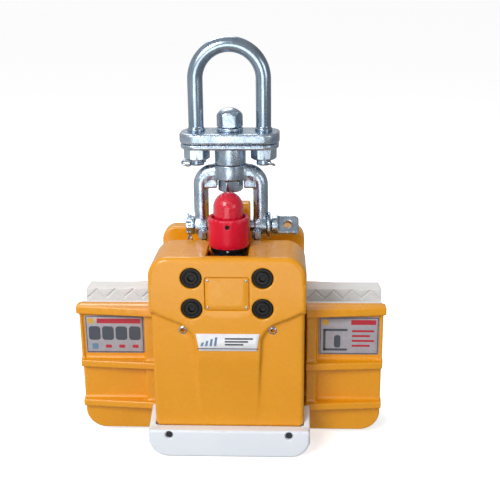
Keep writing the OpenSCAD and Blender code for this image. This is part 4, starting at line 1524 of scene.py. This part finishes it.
@dataclass
class Swivel:
    """The two plates, the upper bow with its nuts, and the swivel bolt down the middle."""

    leg: float = 35.5
    bar: float = 8.0
    top: float = 428.0
    seam: float = 320.0

    def plates(self, x: Array, y: Array, z: Array, low: float, high: float, trim: float) -> Array:
        """Distance to one swivel plate, flame cut and with its edges broken."""
        plan = edge(np.abs(x) - 52.5 + trim + 18, np.abs(y) - 25 + trim + 18) - 18
        return edge(plan + 2.4, slab(z, low, high) + 2.4) - 2.4

    def bow(self, x: Array, y: Array, z: Array) -> Array:
        """Distance to the upper bow, for X above 0."""
        centre = self.top - self.bar - self.leg
        arc = np.hypot(np.hypot(x, z - centre) - self.leg, y)
        leg = np.hypot(x - self.leg, y)
        d = np.where(z > centre, arc, leg) - self.bar
        thread = 0.35 * np.abs(((z / 2.0) % 1) - 0.5) * 2 * (z < 313)
        d = edge(d + 1 + thread, 295 - z + 1) - 1
        seat = edge(np.hypot(x - self.leg, y) - 9.25 + 0.8, slab(z, 330, 334) + 0.8) - 0.8
        d = blend(d, seat, 2.0)
        return carve(d, np.hypot(y, z - 298.6) - 1.5, 0.3)

    def bolt(self, x: Array, y: Array, z: Array) -> Array:
        """Distance to the swivel bolt with its domed head."""
        head = hex_field(24, 335, 356, True, False)(x, y, z)
        head = meet(head, np.sqrt(x * x + y * y + (z - 339) ** 2) - 16.6, 1.2)
        thread = 0.35 * np.abs(((z / 2.0) % 1) - 0.5) * 2 * (z < 281)
        shank = edge(np.hypot(x, y) - 8 + 1 + thread, slab(z, 267, 337) + 1) - 1
        return np.minimum(head, shank)

    def build(self, bar: Grower, repeat: Grower) -> None:
        """Makes the swivel."""
        zinc = Finishes.FORGED_ZINC
        solid(
            "upper_plate", lambda x, y, z: self.plates(x, y, z, self.seam + 0.1, 331, 0),
            (-52.8, -25.3, 319.8), (52.8, 25.3, 331.3), 0.85, "swivel", zinc, ["swivel_plate_upper"]
        )
        solid(
            "lower_plate", lambda x, y, z: self.plates(x, y, z, 314, self.seam - 0.1, 0.75),
            (-52.8, -25.3, 313.8), (52.8, 25.3, 320.3), 0.85, "swivel", zinc, ["swivel_plate_lower"]
        )
        solid(
            "upper_bow_bar", mirrored(self.bow), (-44.8, -9.6, 294.7), (44.8, 9.6, self.top + 0.3), 0.85,
            "swivel", Finishes.DRAWN_ZINC, ["upper_bow"]
        )
        solid(
            "swivel_bolt_forging", self.bolt, (-14.2, -14.2, 266.7), (14.2, 14.2, 356.3), 0.65, "swivel",
            zinc, ["swivel_bolt"]
        )
        nut = carved(hex_field(24, -13, 0), drum("z", 0, 0, -20, 10, 8.0, 0), k=1.0)
        verts, faces = contour(nut, (-14.2, -14.2, -13.3), (14.2, 14.2, 0.3), 0.6)
        pattern = pattern_object("m16_nut", *thinned(verts, faces, 2.0))
        repeat.grow(
            "bow_leg_nuts", points_mesh([(-self.leg, 0, 314), (self.leg, 0, 314)]), "swivel",
            Finishes.TURNED_ZINC, ["bow_nuts"], 30, Pattern=pattern, Turn=(0.0, 0.0, math.radians(4)),
            Size=1.0
        )
        repeat.grow(
            "swivel_bolt_nut", points_mesh([(0, 0, 279.6)]), "swivel", Finishes.TURNED_ZINC, ["swivel_nut"],
            30, Pattern=pattern, Turn=(0.0, 0.0, math.radians(14)), Size=0.98
        )
        for name, node, profile in (
            ("bolt_washer", "swivel_washer", [(8.0, 331), (14, 331), (14, 335), (8.0, 335), (8.0, 331.01)]),
            (
                "thrust_collar", "swivel_collar",
                [(8.0, 296.4), (16.5, 296.4), (16.5, 314), (8.0, 314), (8.0, 296.41)]
            ),
        ):
            verts, faces = turned(rounded(profile, 0.9), 80)
            piece(name, verts, faces, "swivel", zinc, [node], 40)
        for name, side, turn in (("left_bow_split_pin", -1, 44), ("right_bow_split_pin", 1, 120)):
            c, t = math.cos(math.radians(turn)), math.sin(math.radians(turn))
            path = [(
                side * self.leg + (a - 8.6) * c - b * 0.9 * t, (a - 8.6) * t + b * 0.9 * c, 298.6 + b * 0.42
            ) for a, b, _ in split_pin_path(15.5, 5.0, 1.25)]
            obj = bar.grow(
                name, points_mesh(path, True), "swivel", Finishes.TURNED_ZINC,
                ["bow_split_pins"] if side < 0 else (), 60, Bar_Radius=1.25 * MM, Sides=12
            )


class Carried:
    """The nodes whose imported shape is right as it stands, with better materials."""

    FINISH = {
        "guide_rods": Finishes.GROUND_STEEL,
        "drive_frame": Finishes.DARK_STEEL,
        "jaw_cross_pins": Finishes.GROUND_STEEL,
        "jaw_guide_pins": Finishes.GROUND_STEEL,
    }

    def build(self) -> None:
        """Dresses each carried node."""
        for node, finish in self.FINISH.items():
            obj = frame["nodes"][node]
            obj = bpy.data.objects[obj] if isinstance(obj, str) else obj
            for slot in obj.material_slots:
                slot.material = finish.value.material()
            LOG.info("%s dressed as %s", node, finish.value.name)


@dataclass
class Studio:
    """Pale floor, soft lights and the camera."""

    eye: tuple[float, float, float] = (0.0585, -0.9001, 0.4746)
    pitch: float = 16.92
    yaw: float = -2.45
    roll: float = -0.56
    focal_px: float = 860.0
    frame_px: float = 500.0
    softboxes: list[tuple[tuple[float, float, float], tuple[float, float, float], float, float]] = field(
        default_factory=lambda: [
            ((-0.9, -1.6, 1.35), (0, 0, 0.2), 0.9, 29.6),
            ((1.3, -1.2, 0.6), (0, 0, 0.2), 0.7, 3.6),
            ((-0.3, 1.2, 1.5), (0, 0, 0.25), 0.8, 9.7),
        ]
    )

    def build(self) -> None:
        """Makes the stage."""
        scene = bpy.context.scene
        scene.view_settings.view_transform = "Standard"
        floor = piece("floor", np.array(
            [(-60000, -60000, -0.6), (60000, -60000, -0.6), (60000, 60000, -0.6), (-60000, 60000, -0.6)]
        ), [[0, 1, 2, 3]], "frame", Finishes.STUDIO_FLOOR)
        floor.parent = None
        del floor["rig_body"]
        # The floor glows a little of its own, as a lit table does, but throws no light back up at the clamp.
        shader = next(n for n in floor.data.materials[0].node_tree.nodes if n.type == "BSDF_PRINCIPLED")
        shader.inputs["Emission Color"].default_value = linear("FFFFFF")
        shader.inputs["Emission Strength"].default_value = 0.55
        floor.visible_glossy = floor.visible_diffuse = False
        world = bpy.data.worlds.new("studio")
        scene.world = world
        world.use_nodes = True
        back = world.node_tree.nodes["Background"]
        back.inputs["Color"].default_value = linear("FFFFFF")
        # The room is brighter on the left than on the right.
        heading = add(
            world.node_tree, "ShaderNodeSeparateXYZ",
            Vector=add(world.node_tree, "ShaderNodeTexCoord").outputs["Generated"]
        )
        fade = add(
            world.node_tree, "ShaderNodeMapRange", Value=heading.outputs["X"], in1=-0.8, in2=0.8, in3=0.62,
            in4=0.30
        )
        world.node_tree.links.new(fade.outputs["Result"], back.inputs["Strength"])
        for i, (place, aim, size, power) in enumerate(self.softboxes):
            lamp = bpy.data.lights.new(f"softbox_{i}", "AREA")
            lamp.shape, lamp.size, lamp.energy = "SQUARE", size, power
            obj = bpy.data.objects.new(f"softbox_{i}", lamp)
            obj.location = place
            obj.rotation_euler = (Vector(aim) - Vector(place)).to_track_quat("-Z", "Y").to_euler()
            scene.collection.objects.link(obj)
        # A low card in front that only polished surfaces see, so that upright metal faces shine.
        card = bpy.data.lights.new("reflector_card", "AREA")
        card.shape, card.size, card.size_y, card.energy = "RECTANGLE", 1.2, 1.0, 8.5
        obj = bpy.data.objects.new("reflector_card", card)
        obj.location = (-0.3, -2.0, -0.05)
        obj.rotation_euler = (Vector((0, 0, 0.3)) - Vector(obj.location)).to_track_quat("-Z", "Y").to_euler()
        obj.visible_diffuse = obj.visible_camera = False
        scene.collection.objects.link(obj)
        data = bpy.data.cameras.new("camera")
        data.sensor_width, data.lens = 36.0, self.focal_px * 36.0 / self.frame_px
        data.clip_start, data.clip_end = 0.01, 50
        cam = bpy.data.objects.new("camera", data)
        t, p, q = (math.radians(a) for a in (self.pitch, self.yaw, self.roll))
        ahead = Vector((math.sin(p) * math.cos(t), math.cos(p) * math.cos(t), -math.sin(t)))
        right = Vector((math.cos(p), -math.sin(p), 0))
        up = right.cross(ahead)
        side = right * math.cos(q) + up * math.sin(q)
        high = up * math.cos(q) - right * math.sin(q)
        cam.matrix_world = Matrix((side, high, -ahead)).transposed().to_4x4()
        cam.location = self.eye
        scene.collection.objects.link(cam)
        scene.camera = cam


def main() -> None:
    """Builds the clamp in order, from the casing to the lifting bow, then the stage."""
    logging.basicConfig(level=logging.INFO, format="%(message)s")
    bar, repeat = bar_tree(), repeat_tree()
    FrontCasing().build(repeat)
    BadgePlate().build()
    RearCasing().build(repeat)
    Bumper().build(repeat)
    FrontJaw().build()
    Pads().build()
    Latch().build()
    ReturnSprings().build(bar)
    LowerBow().build(bar)
    Swivel().build(bar, repeat)
    Carried().build()
    Studio().build()


if __name__ == "__main__":
    main()
